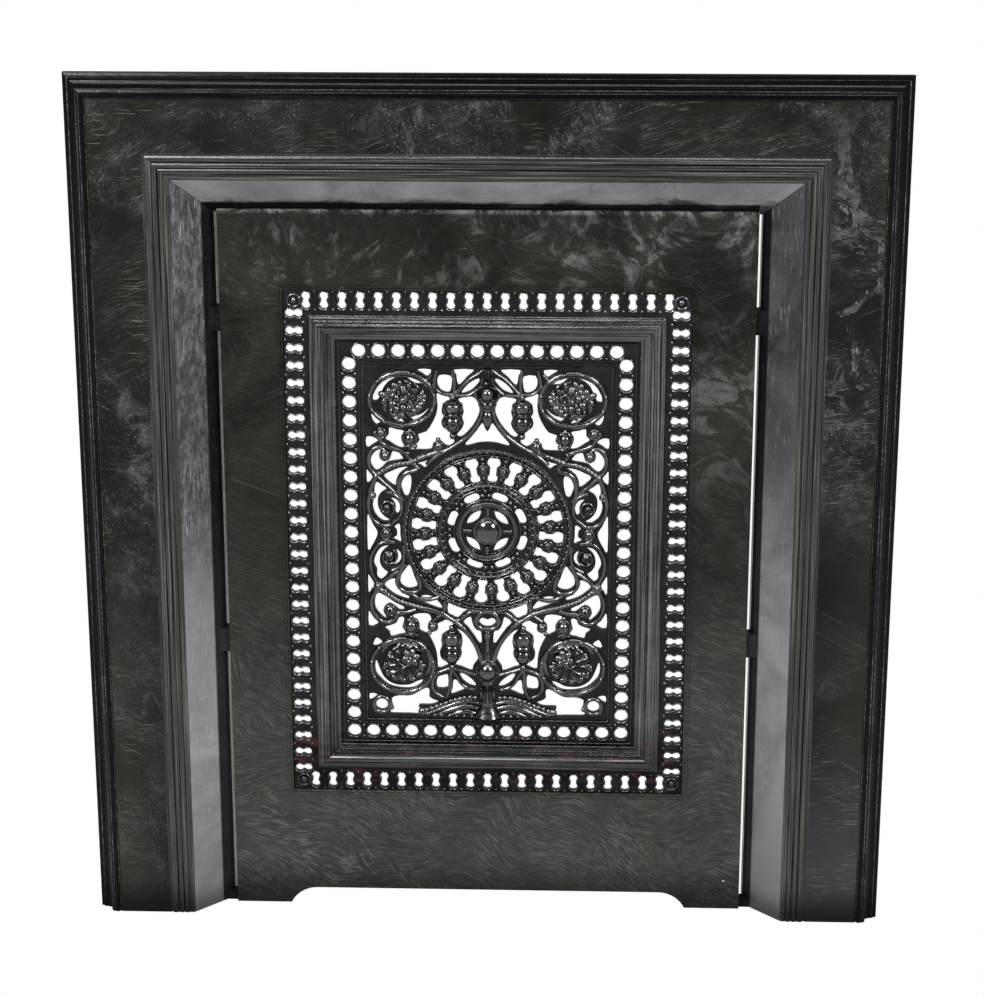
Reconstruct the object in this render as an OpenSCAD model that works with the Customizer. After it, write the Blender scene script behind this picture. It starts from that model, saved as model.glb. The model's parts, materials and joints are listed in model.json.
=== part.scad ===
// Cast iron fireplace: an arched-over surround of one moulded face frame with three
// splayed cheeks bolted behind it, and a lift-away summer cover with a pierced grille.
// X runs left to right, Y runs from the room towards the wall, Z runs up from the hearth.
// The origin is on the hearth, in the middle of the width and of the depth.

/* [Face frame] */
// Overall width over the outer moulding
surround_w = 800; // [760:5:900]
// Overall height above the hearth
surround_h = 859; // [820:1:960]
// Width of the outer moulding
moulding_w = 23.6; // [20:0.2:26]
// Width of the plain flat band
band_w = 51.3; // [48:0.1:54]
// Width of the three beads round the inner edge
beads_w = 24.5; // [22:0.5:26]
// Depth from the flat band back to the edge of the moulding
moulding_drop = 14.1; // [12:0.1:16]
// Depth from the flat band back to the wall
wall_depth = 20; // [18:0.5:26]
// Metal thickness of the face frame
shell_t = 5.5; // [4.5:0.5:6.5]
// Radius of the fixing holes in the rear lugs
fixing_r = 4; // [3:0.5:5]

/* [Splays] */
// How far the splayed cheeks close in towards the opening
splay_run = 36.1; // [33:0.1:38]
// Depth from the flat band back to the narrow end of the splay
splay_depth = 40; // [38:0.5:44]
// Metal thickness of the splays
splay_t = 5; // [4:0.5:6]
// Length of the straight return behind the splay
return_len = 21; // [18:1:24]
// Open width left along each mitred corner joint
mitre_gap = 0.4; // [0.2:0.1:1]
// Height of each stop lug behind the cover
lug_h = 24; // [14:1:36]
// Thread radius of the splay bolts
bolt_r = 3; // [2.5:0.5:3]

/* [Summer cover] */
// Gap between the cover and the opening at each side
cover_side_gap = 4.2; // [2:0.2:8]
// Clear height left under the header splay at the back of the cover
cover_top_gap = 3.2; // [2:0.2:8]
// Gap between the back of the cover and the stop lugs
cover_back_gap = 0.4; // [0.3:0.1:1]
// Metal thickness of the cover plate
plate_t = 4; // [3.5:0.5:5]
// Width of each foot
foot_w = 56.3; // [50:0.1:70]
// Height of the arch between the feet
arch_h = 17; // [12:1:24]
// Radius of the hollow shoulder at each end of the arch
arch_r = 30; // [26:1:34]
// Radius of the small hole in the lower right corner
corner_hole_r = 1.5; // [1:0.5:3]

/* [Grille] */
// Width over the raised fillet round the grille
grille_w = 406; // [386:2:426]
// Height over the raised fillet round the grille
grille_h = 530.6; // [506:0.2:556]
// Height of the middle of the grille as a share of the height of the cover
grille_share = 0.5334; // [0.52:0.0002:0.54]
// Height of the picture-frame moulding above the pierced border
frame_rise = 9; // [7:0.5:11]
// Thickness of the pierced tracery casting
tracery_t = 4; // [3.5:0.5:5]
// Rise of the rims of the wheel above the tracery
wheel_rise = 1.8; // [1:0.2:2.6]
// Rise of the domes in the roundels above the tracery
dome_rise = 3; // [2:0.5:5]
// Radius of the centre boss
boss_r = 14.5; // [13:0.5:15]
// Dome height of the centre boss
boss_rise = 9; // [6:1:12]

/* [Hidden] */
$fn = 32;
// clearances
seat_gap = 0.1;
screw_gap = 0.1;
pass_gap = 0.25;
edge_gap = 0.4;
// face frame, measured inwards (u) from the outer edge and backwards (d) from the band
half_w = surround_w / 2;
u_band = moulding_w;
u_bead = u_band + band_w;
u_in = u_bead + beads_w;
bead_proud = 1;
bead_zone_d = 9;
u_seat = u_bead + 2;
// splays
u_face = u_in + 0.3;
u_throat = u_face + splay_run;
face_d = 1;
slope = (splay_depth - face_d) / splay_run;
slope_len = sqrt(1 + slope * slope);
lip_d0 = bead_zone_d + seat_gap;
lip_d1 = lip_d0 + splay_t;
back_d = splay_depth + return_len;
// depth of the back of the sloping wall at a given u
function back_of_slope(u) = face_d + (u - u_face) * slope + splay_t * slope_len;
u_lip_end = u_face + (lip_d1 - face_d - splay_t * slope_len) / slope;
mid_d = (back_d - bead_proud) / 2;
u_bolt = (u_seat + u_in) / 2;
bolt_z = [0.105, 0.465, 0.815];
bolt_x = [-0.29, 0, 0.29];
bolt_head_r = 5.2;
bolt_head_t = 4;
bolt_bite = 4.6;
// cover
cover_d0 = 28;
cover_d1 = cover_d0 + plate_t;
stop_d = cover_d1 + cover_back_gap;
cover_hw = half_w - u_throat - cover_side_gap;
cover_h = surround_h - (u_face + (cover_d1 - face_d) / slope) - cover_top_gap;
// grille
grille_z = grille_share * cover_h;
g_hw = grille_w / 2;
g_hh = grille_h / 2;
fillet_w = 4.2;
win_hw = g_hw - fillet_w;
win_hh = g_hh - fillet_w;
band_hw = win_hw - edge_gap;
band_hh = win_hh - edge_gap;
lap = 12;
flange_t = 3;
flange_d0 = cover_d1 + seat_gap;
flange_d1 = flange_d0 + flange_t;
band_d = cover_d0 + 1.5;
slot_r = 4.2;
slot_off = 4.3;
slot_neck = 2.6;
ob_hw = g_hw - 15;
ob_hh = g_hh - 15;
ob_across = 21;
ob_down = 28;
ob_end = 12;
ob_px = 2 * (ob_hw - ob_end) / (ob_across - 1);
ob_pz = 2 * (ob_hh - ob_end - 0.7) / (ob_down - 1);
m_hw = g_hw - 28.6;
m_hh = g_hh - 28.6;
m_w = 25.7;
mi_hw = m_hw - m_w;
mi_hh = m_hh - m_w;
panel_lap = 10;
p_hw = mi_hw + panel_lap;
p_hh = mi_hh + panel_lap;
panel_d0 = flange_d1 + seat_gap;
panel_d1 = panel_d0 + tracery_t;
ib_hw = mi_hw - 12.9;
ib_top = mi_hh - 11.5;
ib_low = mi_hh - 13;
ib_across = 15;
ib_up = 20;
ib_px = 2 * ib_hw / (ib_across - 1);
ib_pz = (ib_low + ib_top - 13.5) / ib_up;
ib_r = 6.35;
o_hw = mi_hw - 28.8;
o_hh = mi_hh - 28.8;
// the scrollwork is drawn on a half opening of 119.9 by 182.2
kx = o_hw / 119.9;
kz = o_hh / 182.2;
kw = min(kx, kz);
med_v = 16.5;
screw_r = 2;
screw_head_r = 4;
screw_head_t = 2.6;
frame_screw_off = 6.5;
frame_screw_z = [-0.72, 0, 0.72];
frame_screw_x = [-0.55, 0.55];
panel_screw_z = [-0.68, 0, 0.68];
screw_bite = 2.6;
panel_bite = 4;
stud_r = 3;
nut_r = 5.8;
nut_t = 5;

// ---------- helpers ----------
function ms(x) = x * moulding_w / 23.6;
function bs(x) = x * beads_w / 24.5;
function oval(cu, cd, ru, rd, a0, a1, n) =
    [for (i = [0:n]) [cu + ru * cos(a0 + (a1 - a0) * i / n),
                      cd + rd * sin(a0 + (a1 - a0) * i / n)]];
// point on a smooth curve through four points
function smooth(a, b, c, d, t) =
    0.5 * (2 * b + (c - a) * t + (2 * a - 5 * b + 4 * c - d) * t * t
           + (3 * b - 3 * c + d - a) * t * t * t);
// outline of a waisted opening along X: round ends of radius r at a distance off from
// the middle, and a neck of half width neck between them
function waisted(off, r, neck, n) =
    let (a = 180 - asin(neck / r))
    concat(oval(off, 0, r, r, -a, a, n), oval(-off, 0, r, r, 180 - a, 180 + a, n));

// a prism whose outline is drawn in X and Z, from depth y0 to depth y1
module xz_prism(y0, y1) {
    translate([0, y1, 0]) rotate([90, 0, 0]) linear_extrude(y1 - y0) children();
}

// a rod along Y from depth y0 to depth y1
module rod(x, z, r, y0, y1, n) {
    translate([x, y1, z]) rotate([90, 0, 0]) cylinder(h = y1 - y0, r = r, $fn = n);
}

module both_sides() {
    children();
    mirror([1, 0, 0]) children();
}

// ---------- face frame ----------
// sections: distance inwards from the outer edge, depth
function moulding_part() = concat(
    [[0, wall_depth], [0, moulding_drop], [ms(3.3), moulding_drop - 1.5],
     [ms(3.3), moulding_drop - 2.7]],
    oval(ms(5.8), 4.6, ms(6.8), moulding_drop - 7.7, 90, 0, 6),
    oval(ms(21.3), 3.4, ms(-8.7), -4.2, 0, 90, 6),
    [[ms(21.3), 1], [ms(23), 1], [u_band, 0], [u_band + 4, 1], [u_band + 4, shell_t - 1],
     [u_band, shell_t], [ms(19), shell_t + 0.6], [ms(12.5), shell_t + 5.5],
     [shell_t, wall_depth - 2.5], [shell_t, wall_depth]]);

function bead_part() = concat(
    [[u_bead - 4, 1.2], [u_bead, 1.2]],
    oval(u_bead + bs(4.7), 1.2, bs(-3.5), -2.2, 0, 180, 8),
    oval(u_bead + bs(10.95), 1.2, bs(-2.75), -2.2, 0, 180, 8),
    oval(u_bead + bs(16.45), 1.2, bs(-2.75), -2.2, 0, 180, 8),
    [[u_bead + bs(19.6), 0.2], [u_in - 0.6, 0.2], [u_in, 0.8], [u_in, bead_zone_d],
     [u_bead - 1, bead_zone_d], [u_bead - 4, shell_t + 0.6]]);

// plain band: up one side, over the top and down the other
module band_plate() {
    xz_prism(0, shell_t)
        polygon([[-half_w + u_band, 0], [-half_w + u_band, surround_h - u_band],
                 [half_w - u_band, surround_h - u_band], [half_w - u_band, 0],
                 [half_w - u_bead, 0], [half_w - u_bead, surround_h - u_bead],
                 [-half_w + u_bead, surround_h - u_bead], [-half_w + u_bead, 0]]);
}

module side_bar(section, reach, gap) {
    intersection() {
        translate([-half_w, 0, 0]) linear_extrude(surround_h) polygon(section);
        xz_prism(-10, back_d + 10)
            polygon([[-half_w - 5, -5], [-half_w - 5, surround_h + 5 - gap],
                     [-half_w + reach, surround_h - reach - gap], [-half_w + reach, -5]]);
    }
}

module top_bar(section, reach, gap) {
    intersection() {
        translate([-half_w, 0, surround_h]) rotate([0, 90, 0])
            linear_extrude(surround_w) polygon(section);
        xz_prism(-10, back_d + 10)
            polygon([[-half_w - 5, surround_h + 5 + gap], [half_w + 5, surround_h + 5 + gap],
                     [half_w - reach, surround_h - reach + gap],
                     [-half_w + reach, surround_h - reach + gap]]);
    }
}

lug_z = [0.14, 0.8];
lug_u = 19;

module fixing_lug(z) {
    translate([-half_w, 0, z]) xz_prism(wall_depth - 4, wall_depth)
        polygon([[shell_t - 1.5, -16], [lug_u, -12], [lug_u + 9, -7], [lug_u + 9, 7],
                 [lug_u, 12], [shell_t - 1.5, 16]]);
}

module face_frame() {
    color("dimgray") difference() {
        union() {
            band_plate();
            both_sides() side_bar(moulding_part(), 140, 0);
            top_bar(moulding_part(), 140, 0);
            both_sides() side_bar(bead_part(), 140, 0);
            top_bar(bead_part(), 140, 0);
            both_sides() for (k = lug_z) fixing_lug(k * surround_h);
        }
        both_sides() for (k = lug_z)
            rod(-half_w + lug_u, k * surround_h, fixing_r, wall_depth - 6, wall_depth + 2, 32);
        both_sides() for (k = bolt_z)
            rod(-half_w + u_bolt, k * surround_h, bolt_r, bead_zone_d - bolt_bite - 0.6,
                bead_zone_d + 1, 24);
        for (k = bolt_x)
            rod(k * surround_w, surround_h - u_bolt, bolt_r, bead_zone_d - bolt_bite - 0.6,
                bead_zone_d + 1, 24);
    }
}

// ---------- splays ----------
function splay_section() =
    [[u_seat, lip_d0], [u_face, lip_d0], [u_face, face_d], [u_throat, splay_depth],
     [u_throat, back_d], [u_throat - splay_t, back_d],
     [u_throat - splay_t, back_of_slope(u_throat - splay_t)],
     [u_lip_end, lip_d1], [u_seat, lip_d1]];

stop_z = [0.334, 0.72];
lug_reach = 11.2;
ledge_h = 9;

module side_splay() {
    difference() {
        union() {
            side_bar(splay_section(), 170, mitre_gap);
            for (k = stop_z) translate([-half_w, 0, k * surround_h - lug_h / 2])
                linear_extrude(lug_h)
                    polygon([[u_face + (stop_d - face_d) / slope - 1.2, stop_d],
                             [u_throat + lug_reach, stop_d],
                             [u_throat + lug_reach, splay_depth + 10],
                             [u_throat - 2.5, splay_depth + 10]]);
            translate([-half_w, 0, 0]) linear_extrude(ledge_h)
                polygon([[u_face + (stop_d - face_d) / slope - 1.2, stop_d],
                         [u_throat + lug_reach - 2, stop_d],
                         [u_throat + lug_reach - 2, splay_depth + 5],
                         [u_throat - 2.5, splay_depth + 5]]);
        }
        for (k = bolt_z)
            rod(-half_w + u_bolt, k * surround_h, bolt_r + pass_gap, lip_d0 - 1, lip_d1 + 1, 24);
    }
}

module left_splay() {
    color("gray") side_splay();
}

module right_splay() {
    color("gray") mirror([1, 0, 0]) side_splay();
}

module header_splay() {
    color("darkgray") difference() {
        top_bar(splay_section(), 170, mitre_gap);
        for (k = bolt_x)
            rod(k * surround_w, surround_h - u_bolt, bolt_r + pass_gap, lip_d0 - 1,
                lip_d1 + 1, 24);
    }
}

module splay_bolt(x, z) {
    rod(x, z, bolt_r - screw_gap, bead_zone_d - bolt_bite, lip_d1 + 1, 24);
    difference() {
        rod(x, z, bolt_head_r, lip_d1 + seat_gap, lip_d1 + seat_gap + bolt_head_t, 6);
        translate([x - 10, lip_d1 + seat_gap + bolt_head_t - 1.2, z - 0.6]) cube([20, 4, 1.2]);
    }
}

module splay_bolts() {
    color("silver") {
        both_sides() for (k = bolt_z) splay_bolt(-half_w + u_bolt, k * surround_h);
        for (k = bolt_x) splay_bolt(k * surround_w, surround_h - u_bolt);
    }
}

// ---------- cover plate ----------
function arch_line() =
    let (foot_x = cover_hw - foot_w,
         drop = arch_r - arch_h,
         a = asin(drop / arch_r),
         cx = foot_x - arch_r * cos(a))
    [for (i = [0:8]) [cx + arch_r * cos(a + (90 - a) * i / 8),
                      -drop + arch_r * sin(a + (90 - a) * i / 8)]];

module cover_outline() {
    right = arch_line();
    left = [for (i = [len(right) - 1:-1:0]) [-right[i][0], right[i][1]]];
    polygon(concat([[-cover_hw, 0], [-cover_hw, cover_h], [cover_hw, cover_h], [cover_hw, 0]],
                   right, left));
}

module block(hw, hh, y0, y1) {
    translate([-hw, y0, grille_z - hh]) cube([2 * hw, y1 - y0, 2 * hh]);
}

module cover_plate() {
    color("dimgray") difference() {
        union() {
            xz_prism(cover_d0, cover_d1) cover_outline();
            block(g_hw, g_hh, cover_d0 - 1.8, cover_d0 + 1);
        }
        difference() {
            block(g_hw - 1.8, g_hh - 1.8, cover_d0 - 3, cover_d0 - 0.3);
            block(win_hw + 1.8, win_hh + 1.8, cover_d0 - 1.3, cover_d0 + 1);
        }
        block(win_hw, win_hh, cover_d0 - 5, cover_d1 + 5);
        rod(cover_hw - 16.3, 30, corner_hole_r, cover_d0 - 5, cover_d1 + 5, 24);
        for (s = [-1, 1], k = frame_screw_z)
            rod(s * (win_hw + frame_screw_off), grille_z + k * g_hh, screw_r,
                cover_d1 - screw_bite - 0.3, cover_d1 + 1, 16);
        for (s = [-1, 1], k = frame_screw_x)
            rod(k * g_hw, grille_z + s * (win_hh + frame_screw_off), screw_r,
                cover_d1 - screw_bite - 0.3, cover_d1 + 1, 16);
    }
}

// ---------- grille frame ----------
// section of the picture-frame moulding: distance inwards, depth
function moulding_section() =
    [[0, flange_d1], [0, band_d + 0.4], [1, band_d - 0.25 * frame_rise],
     [2.6, band_d - 0.3 * frame_rise], [3, band_d - 0.5 * frame_rise],
     [5.4, band_d - 0.58 * frame_rise], [5.9, band_d - 0.72 * frame_rise],
     [8.6, band_d - 0.8 * frame_rise], [9.2, band_d - 0.92 * frame_rise],
     [11.5, band_d - frame_rise], [14, band_d - frame_rise],
     [15.2, band_d - 0.85 * frame_rise], [15.6, band_d - 0.6 * frame_rise],
     [18.2, band_d - 0.52 * frame_rise], [18.8, band_d - 0.3 * frame_rise],
     [21.4, band_d - 0.2 * frame_rise], [22, band_d + 0.8], [m_w - 0.8, band_d + 1.6],
     [m_w, band_d + 2.6], [m_w, flange_d1], [14.6, flange_d1],
     [13.2, band_d - frame_rise + 6], [11, band_d - frame_rise + 6],
     [4.5, band_d + 0.8], [3, flange_d1]];

module frame_side(hw, hh) {
    intersection() {
        translate([-hw, 0, -hh]) linear_extrude(2 * hh) polygon(moulding_section());
        xz_prism(-10, back_d)
            polygon([[-hw - 2, -hh - 2], [-hw - 2, hh + 2], [-hw + 60, hh - 60],
                     [-hw + 60, -hh + 60]]);
    }
}

module frame_top(hw, hh) {
    intersection() {
        translate([-hw, 0, hh]) rotate([0, 90, 0]) linear_extrude(2 * hw)
            polygon(moulding_section());
        xz_prism(-10, back_d)
            polygon([[-hw - 2, hh + 2], [hw + 2, hh + 2], [hw - 60, hh - 60],
                     [-hw + 60, hh - 60]]);
    }
}

// waisted openings, their long way across the border
module outer_slots() {
    across = waisted(slot_off, slot_r, slot_neck, 9);
    along = [for (q = across) [q[1], q[0]]];
    for (s = [-1, 1], i = [0:ob_across - 1])
        translate([(i - (ob_across - 1) / 2) * ob_px, 0, s * ob_hh])
            xz_prism(band_d - 2, flange_d1 + 2) polygon(along);
    for (s = [-1, 1], i = [0:ob_down - 1])
        translate([s * ob_hw, 0, (i - (ob_down - 1) / 2) * ob_pz])
            xz_prism(band_d - 2, flange_d1 + 2) polygon(across);
}

// rectangular ring between two half widths and half heights
module ring(hw, hh, ihw, ihh, y0, y1) {
    xz_prism(y0, y1) difference() {
        square([2 * hw, 2 * hh], center = true);
        square([2 * ihw, 2 * ihh], center = true);
    }
}

module grille_frame() {
    color("black") translate([0, 0, grille_z]) difference() {
        union() {
            difference() {
                ring(band_hw, band_hh, m_hw - 1.5, m_hh - 1.5, band_d, flange_d1);
                outer_slots();
            }
            ring(win_hw + lap, win_hh + lap, band_hw - 1, band_hh - 1, flange_d0, flange_d1);
            for (s = [0, 1]) {
                mirror([s, 0, 0]) frame_side(m_hw, m_hh);
                mirror([0, 0, s]) frame_top(m_hw, m_hh);
            }
        }
        for (s = [-1, 1], k = frame_screw_z)
            rod(s * (win_hw + frame_screw_off), k * g_hh, screw_r + pass_gap, flange_d0 - 1,
                flange_d1 + 1, 16);
        for (s = [-1, 1], k = frame_screw_x)
            rod(k * g_hw, s * (win_hh + frame_screw_off), screw_r + pass_gap, flange_d0 - 1,
                flange_d1 + 1, 16);
        for (s = [-1, 1], k = panel_screw_z)
            rod(s * (mi_hw + panel_lap / 2), k * mi_hh, screw_r, flange_d1 - panel_bite - 0.4,
                flange_d1 + 1, 16);
        for (s = [-1, 1])
            rod(0, s * (mi_hh + panel_lap / 2), screw_r, flange_d1 - panel_bite - 0.4,
                flange_d1 + 1, 16);
    }
}

// ---------- tracery ----------
module tube(u, v, r, n) {
    rod(u, v, r, panel_d0 - 4, panel_d1 + 2, n);
}

// smooth closed outline through the points p
function closed(p, n) =
    let (m = len(p))
    [for (i = [0:m - 1], k = [0:n - 1])
        smooth(p[(i + m - 1) % m], p[i], p[(i + 1) % m], p[(i + 2) % m], k / n)];

// a pair of openings, left and right of the middle, drawn on the left side
module pair(p) {
    q = closed(p, 2);
    for (s = [-1, 1]) xz_prism(panel_d0 - 4, panel_d1 + 2)
        polygon([for (a = q) [-s * a[0] * kx, a[1] * kz]]);
}

// an opening that lies across the middle, of which the left half is drawn
module single(p) {
    m = len(p);
    q = closed(concat(p, [for (i = [m - 2:-1:1]) [-p[i][0], p[i][1]]]), 2);
    xz_prism(panel_d0 - 4, panel_d1 + 2) polygon([for (a = q) [a[0] * kx, a[1] * kz]]);
}

// crescents round the flowers of the upper roundels
module upper_roundels() {
    pair([[-113.4, 150.4], [-111, 157], [-107, 164], [-100.9, 169.8], [-94, 173],
          [-89.7, 172.8], [-96, 169.4], [-101, 164.5], [-104, 158.5], [-108, 150]]);
    pair([[-79.7, 174.3], [-74, 174], [-68.4, 172], [-64, 167.2], [-70.5, 167], [-75, 169.5]]);
    pair([[-54.7, 148], [-53.6, 143], [-56.8, 135.4], [-61.8, 130.4], [-67, 128.2],
          [-72.6, 129.6], [-75.5, 133.5], [-68, 134.8], [-61.8, 138.3], [-57.5, 143]]);
    pair([[-94.5, 135.3], [-88.5, 135.2], [-85, 131.3], [-81.3, 127.3], [-87.2, 128.3],
          [-91.8, 131.3]]);
}

// between the upper roundels, the stems below them and the frame
module upper_stems() {
    pair([[-114.3, 135.8], [-109.8, 134.4], [-105.3, 128.6], [-109.5, 125.2], [-112.8, 129.4]]);
    pair([[-96.8, 122], [-90, 120.4], [-82.4, 118.8], [-85.2, 113.5], [-84.4, 107.5],
          [-81.8, 102], [-88.4, 102.3], [-96.5, 107.6], [-101, 110.6], [-97.2, 115.4]]);
    pair([[-119.6, 112.3], [-112.6, 112.3], [-108, 108.3], [-112.6, 105.4], [-117.4, 101.8],
          [-119.6, 103]]);
}

// round the upper vase, its loops and the finial
module upper_vase() {
    pair([[-49.7, 157], [-41.8, 155.2], [-35.9, 151.3], [-41, 148.8], [-44.8, 142.9],
          [-44.8, 137.1], [-43, 133.8], [-45.2, 129.6], [-44.4, 123.8], [-39.3, 119.2],
          [-35.1, 114.6], [-32.6, 108.3], [-38, 103.8], [-42.6, 105.6], [-47, 109.4],
          [-52.8, 106.3], [-56, 100.3], [-66.8, 99.8], [-77.2, 99.6], [-77.4, 102.6],
          [-71.8, 104.3], [-66.8, 109.6], [-68.4, 115.6], [-60.2, 118.4], [-54.3, 127.1],
          [-50.5, 135.4], [-48.8, 145.4]]);
    pair([[-28.6, 151.5], [-20.9, 153.4], [-14.3, 153.8], [-9.3, 148.8], [-7.2, 142.9],
          [-8.4, 135.4], [-12.6, 127.1], [-20.1, 117.9], [-26, 113.2], [-30.4, 115.2],
          [-25.9, 120.4], [-23, 127.1], [-24.8, 132.4], [-23.2, 138.8], [-25.1, 145.6]]);
    pair([[-69, 181.2], [-55.3, 181.2], [-58, 174], [-63.4, 177]]);
    pair([[-47, 175.6], [-36, 175], [-35, 167.5], [-36.8, 159], [-41.5, 158.6],
          [-46.5, 161.5], [-49, 168]]);
    pair([[-32.6, 181.2], [-13.2, 181.2], [-20, 174], [-26.6, 166.4], [-29.2, 167.4],
          [-30.4, 175.5]]);
    pair([[-8.4, 172.6], [-8.2, 169], [-14, 162], [-20, 158.6], [-25.4, 157.6],
          [-21.8, 163.6], [-15.1, 169.6]]);
    single([[0, 119], [-2.5, 122.5], [-5, 127.5], [-10.1, 120.4], [-16.8, 112.1],
            [-21.5, 106.7], [-20.1, 104.2], [-10.1, 107], [0, 108]]);
}

// round the upper scrolls and spirals
module upper_scrolls() {
    pair([[-105.8, 99.3], [-110.2, 98], [-114.6, 92.5], [-115.2, 86], [-112.6, 80.2],
          [-109.3, 78.2], [-104.3, 81.6], [-99.5, 86.4], [-92, 88.2], [-83.8, 89.8],
          [-84.6, 93], [-88.5, 97], [-93.8, 97.6], [-95.2, 93.5], [-96.6, 90],
          [-101.3, 88], [-106, 90.6], [-107.2, 94.8]]);
    pair([[-119.6, 78.5], [-117.5, 76.5], [-113.2, 70.2], [-117.6, 65.8], [-119.6, 66.4]]);
    pair([[-102.8, 72.9], [-95.9, 77.1], [-87.6, 80.8], [-78.6, 82.2], [-82.6, 79],
          [-88.2, 74], [-90.8, 67.5], [-91.2, 62.6], [-96.8, 65.6]]);
    pair([[-109.5, 66.3], [-105, 62.9], [-99.8, 59.2], [-105.3, 55.6], [-108.8, 50.5],
          [-109, 42], [-106.3, 35], [-101.8, 30], [-96.8, 26.7], [-103.4, 25.7],
          [-109.3, 30], [-112.6, 35.8], [-114, 43.3], [-112.4, 49.5], [-112.2, 57.5],
          [-111.5, 62.5]]);
    pair([[-96.3, 49.8], [-91.6, 49], [-87.6, 44.5], [-87, 39.2], [-89.2, 33.6],
          [-91.4, 36.5], [-91, 41.5], [-92.8, 45.6]]);
    pair([[-79.7, 73], [-76.2, 73.2], [-75.4, 67.5], [-76, 61.7], [-78.2, 53.4],
          [-81.6, 52.2], [-84.6, 59.2], [-85.2, 64.4], [-83, 70]]);
    pair([[-69.7, 85.6], [-63, 87.6], [-55.9, 89.8], [-58.2, 85.8], [-61.6, 81.2],
          [-65.9, 84]]);
}

// between the wheel, the spirals and the frame
module side_scrolls() {
    pair([[-119.6, 31], [-117.4, 29.2], [-114.3, 22.5], [-110.2, 15.8], [-110.2, 10.8],
          [-112.6, 5], [-115.9, -0.8], [-119.6, -5]]);
    pair([[-93.2, 19.4], [-89.3, 22.8], [-87.2, 21.7], [-87, 11.7], [-86.2, 4.2],
          [-89.3, 5], [-94.4, 8], [-90.3, 10.8], [-90.4, 16.5]]);
    pair([[-98.5, 0.4], [-105.9, -1.5], [-111, -8.3], [-113.6, -17.5], [-110.4, -24.5],
          [-110.8, -30.8], [-108, -35.3], [-105, -34.6], [-99.8, -28], [-103, -25.4],
          [-106.5, -21], [-108, -15.5], [-106.8, -8.3], [-102.6, -3.3]]);
    pair([[-91, -3.4], [-87, -7], [-86.4, -13], [-89.5, -18], [-94, -20], [-91, -15.5],
          [-89.4, -10]]);
    pair([[-78.6, -19.8], [-75.6, -25], [-73.4, -32], [-70.4, -39.5], [-72, -43.2],
          [-78.4, -44.8], [-84.3, -42.6], [-87.4, -37.5], [-86, -30], [-81.9, -24]]);
    pair([[-103.6, -41.5], [-98.4, -36], [-93, -34.4], [-91.6, -39.2], [-90, -44.2],
          [-86, -49.6], [-79, -52.8], [-79.8, -56], [-86, -54.4], [-92, -51.8],
          [-97.4, -48]]);
    pair([[-119.6, -31.5], [-117.8, -32.6], [-113.2, -41], [-113.6, -43.6], [-116.8, -46],
          [-119.6, -50]]);
}

// round the lower scrolls and leaves
module lower_scrolls() {
    pair([[-109.8, -49.8], [-105, -51.6], [-99.6, -55.2], [-92, -60.4], [-84.4, -64],
          [-84.6, -67.4], [-88.6, -67.6], [-92.5, -64.5], [-98, -61], [-103.5, -64],
          [-105, -69.2], [-102.5, -74], [-102.8, -77], [-107.5, -73], [-112, -66.7],
          [-113.3, -60.5], [-112.4, -53.5]]);
    pair([[-119.6, -70], [-117.8, -71], [-114.3, -76.8], [-110, -81], [-112.6, -84.2],
          [-119.6, -85.2]]);
    pair([[-72, -57], [-66.8, -52.8], [-61.8, -51.5], [-55.1, -53.2], [-50, -57.5],
          [-45.8, -63.2], [-46.6, -66], [-53.4, -64], [-61.8, -60.6], [-68.4, -58]]);
    pair([[-39.5, -60.2], [-35, -61.4], [-28.4, -64], [-20.2, -66.6], [-25, -70.2],
          [-30.1, -75.6], [-35.1, -73.4], [-39.6, -70.6]]);
    pair([[-104, -86.4], [-97.6, -84], [-91.6, -81], [-89.2, -75.8], [-84.6, -75.2],
          [-84.4, -80], [-86, -85.8], [-82.4, -92.4], [-89.3, -94.2], [-97, -96.4],
          [-98.6, -91.4]]);
    pair([[-111.5, -97.4], [-105.8, -102.4], [-110, -105.6], [-115.5, -106.2],
          [-114.3, -100.8]]);
}

// crescents round the leaves of the lower roundels, and the corner rings
module lower_roundels() {
    pair([[-95.8, -113.4], [-93.4, -107.5], [-88.4, -103.2], [-80, -102.4], [-84.3, -106.7],
          [-88.4, -111.7], [-91.8, -114]]);
    pair([[-77.8, -110.8], [-73.4, -106.6], [-67.6, -104.4], [-63.2, -105.8],
          [-59.2, -111.7], [-57.8, -119.2], [-62.6, -114.2], [-68.4, -110.6]]);
    pair([[-115.6, -122.4], [-112.4, -122], [-110, -128.3], [-107.6, -134.6], [-104.6, -140],
          [-99.6, -144.6], [-93, -147.6], [-85.9, -148.2], [-78.4, -147.4], [-71.8, -144],
          [-65.7, -142], [-67.6, -146], [-73.4, -150.6], [-82, -152], [-92, -151],
          [-100.4, -148.4], [-107.2, -142.5], [-112.8, -135], [-115.3, -128.3]]);
    pair([[-119.6, -157.6], [-113, -158.2], [-112.8, -160.4], [-119.6, -165.2]]);
    both_sides() tube(-107.5 * kx, -169.2 * kz, 5.8 * kw, 24);
    pair([[-90, -159.6], [-97.6, -162.6], [-96, -171.5], [-99.6, -178.6], [-90, -179.4],
          [-80, -179.4], [-67.5, -179.4], [-69.3, -173.3], [-69.7, -169.6],
          [-60.1, -169.4], [-54.3, -168.5], [-49.8, -165.4], [-55.1, -163.3],
          [-59.3, -160], [-59, -154.2], [-60.9, -150.8], [-66.8, -153.3],
          [-75.1, -158.3], [-82, -159.7]]);
}

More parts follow.
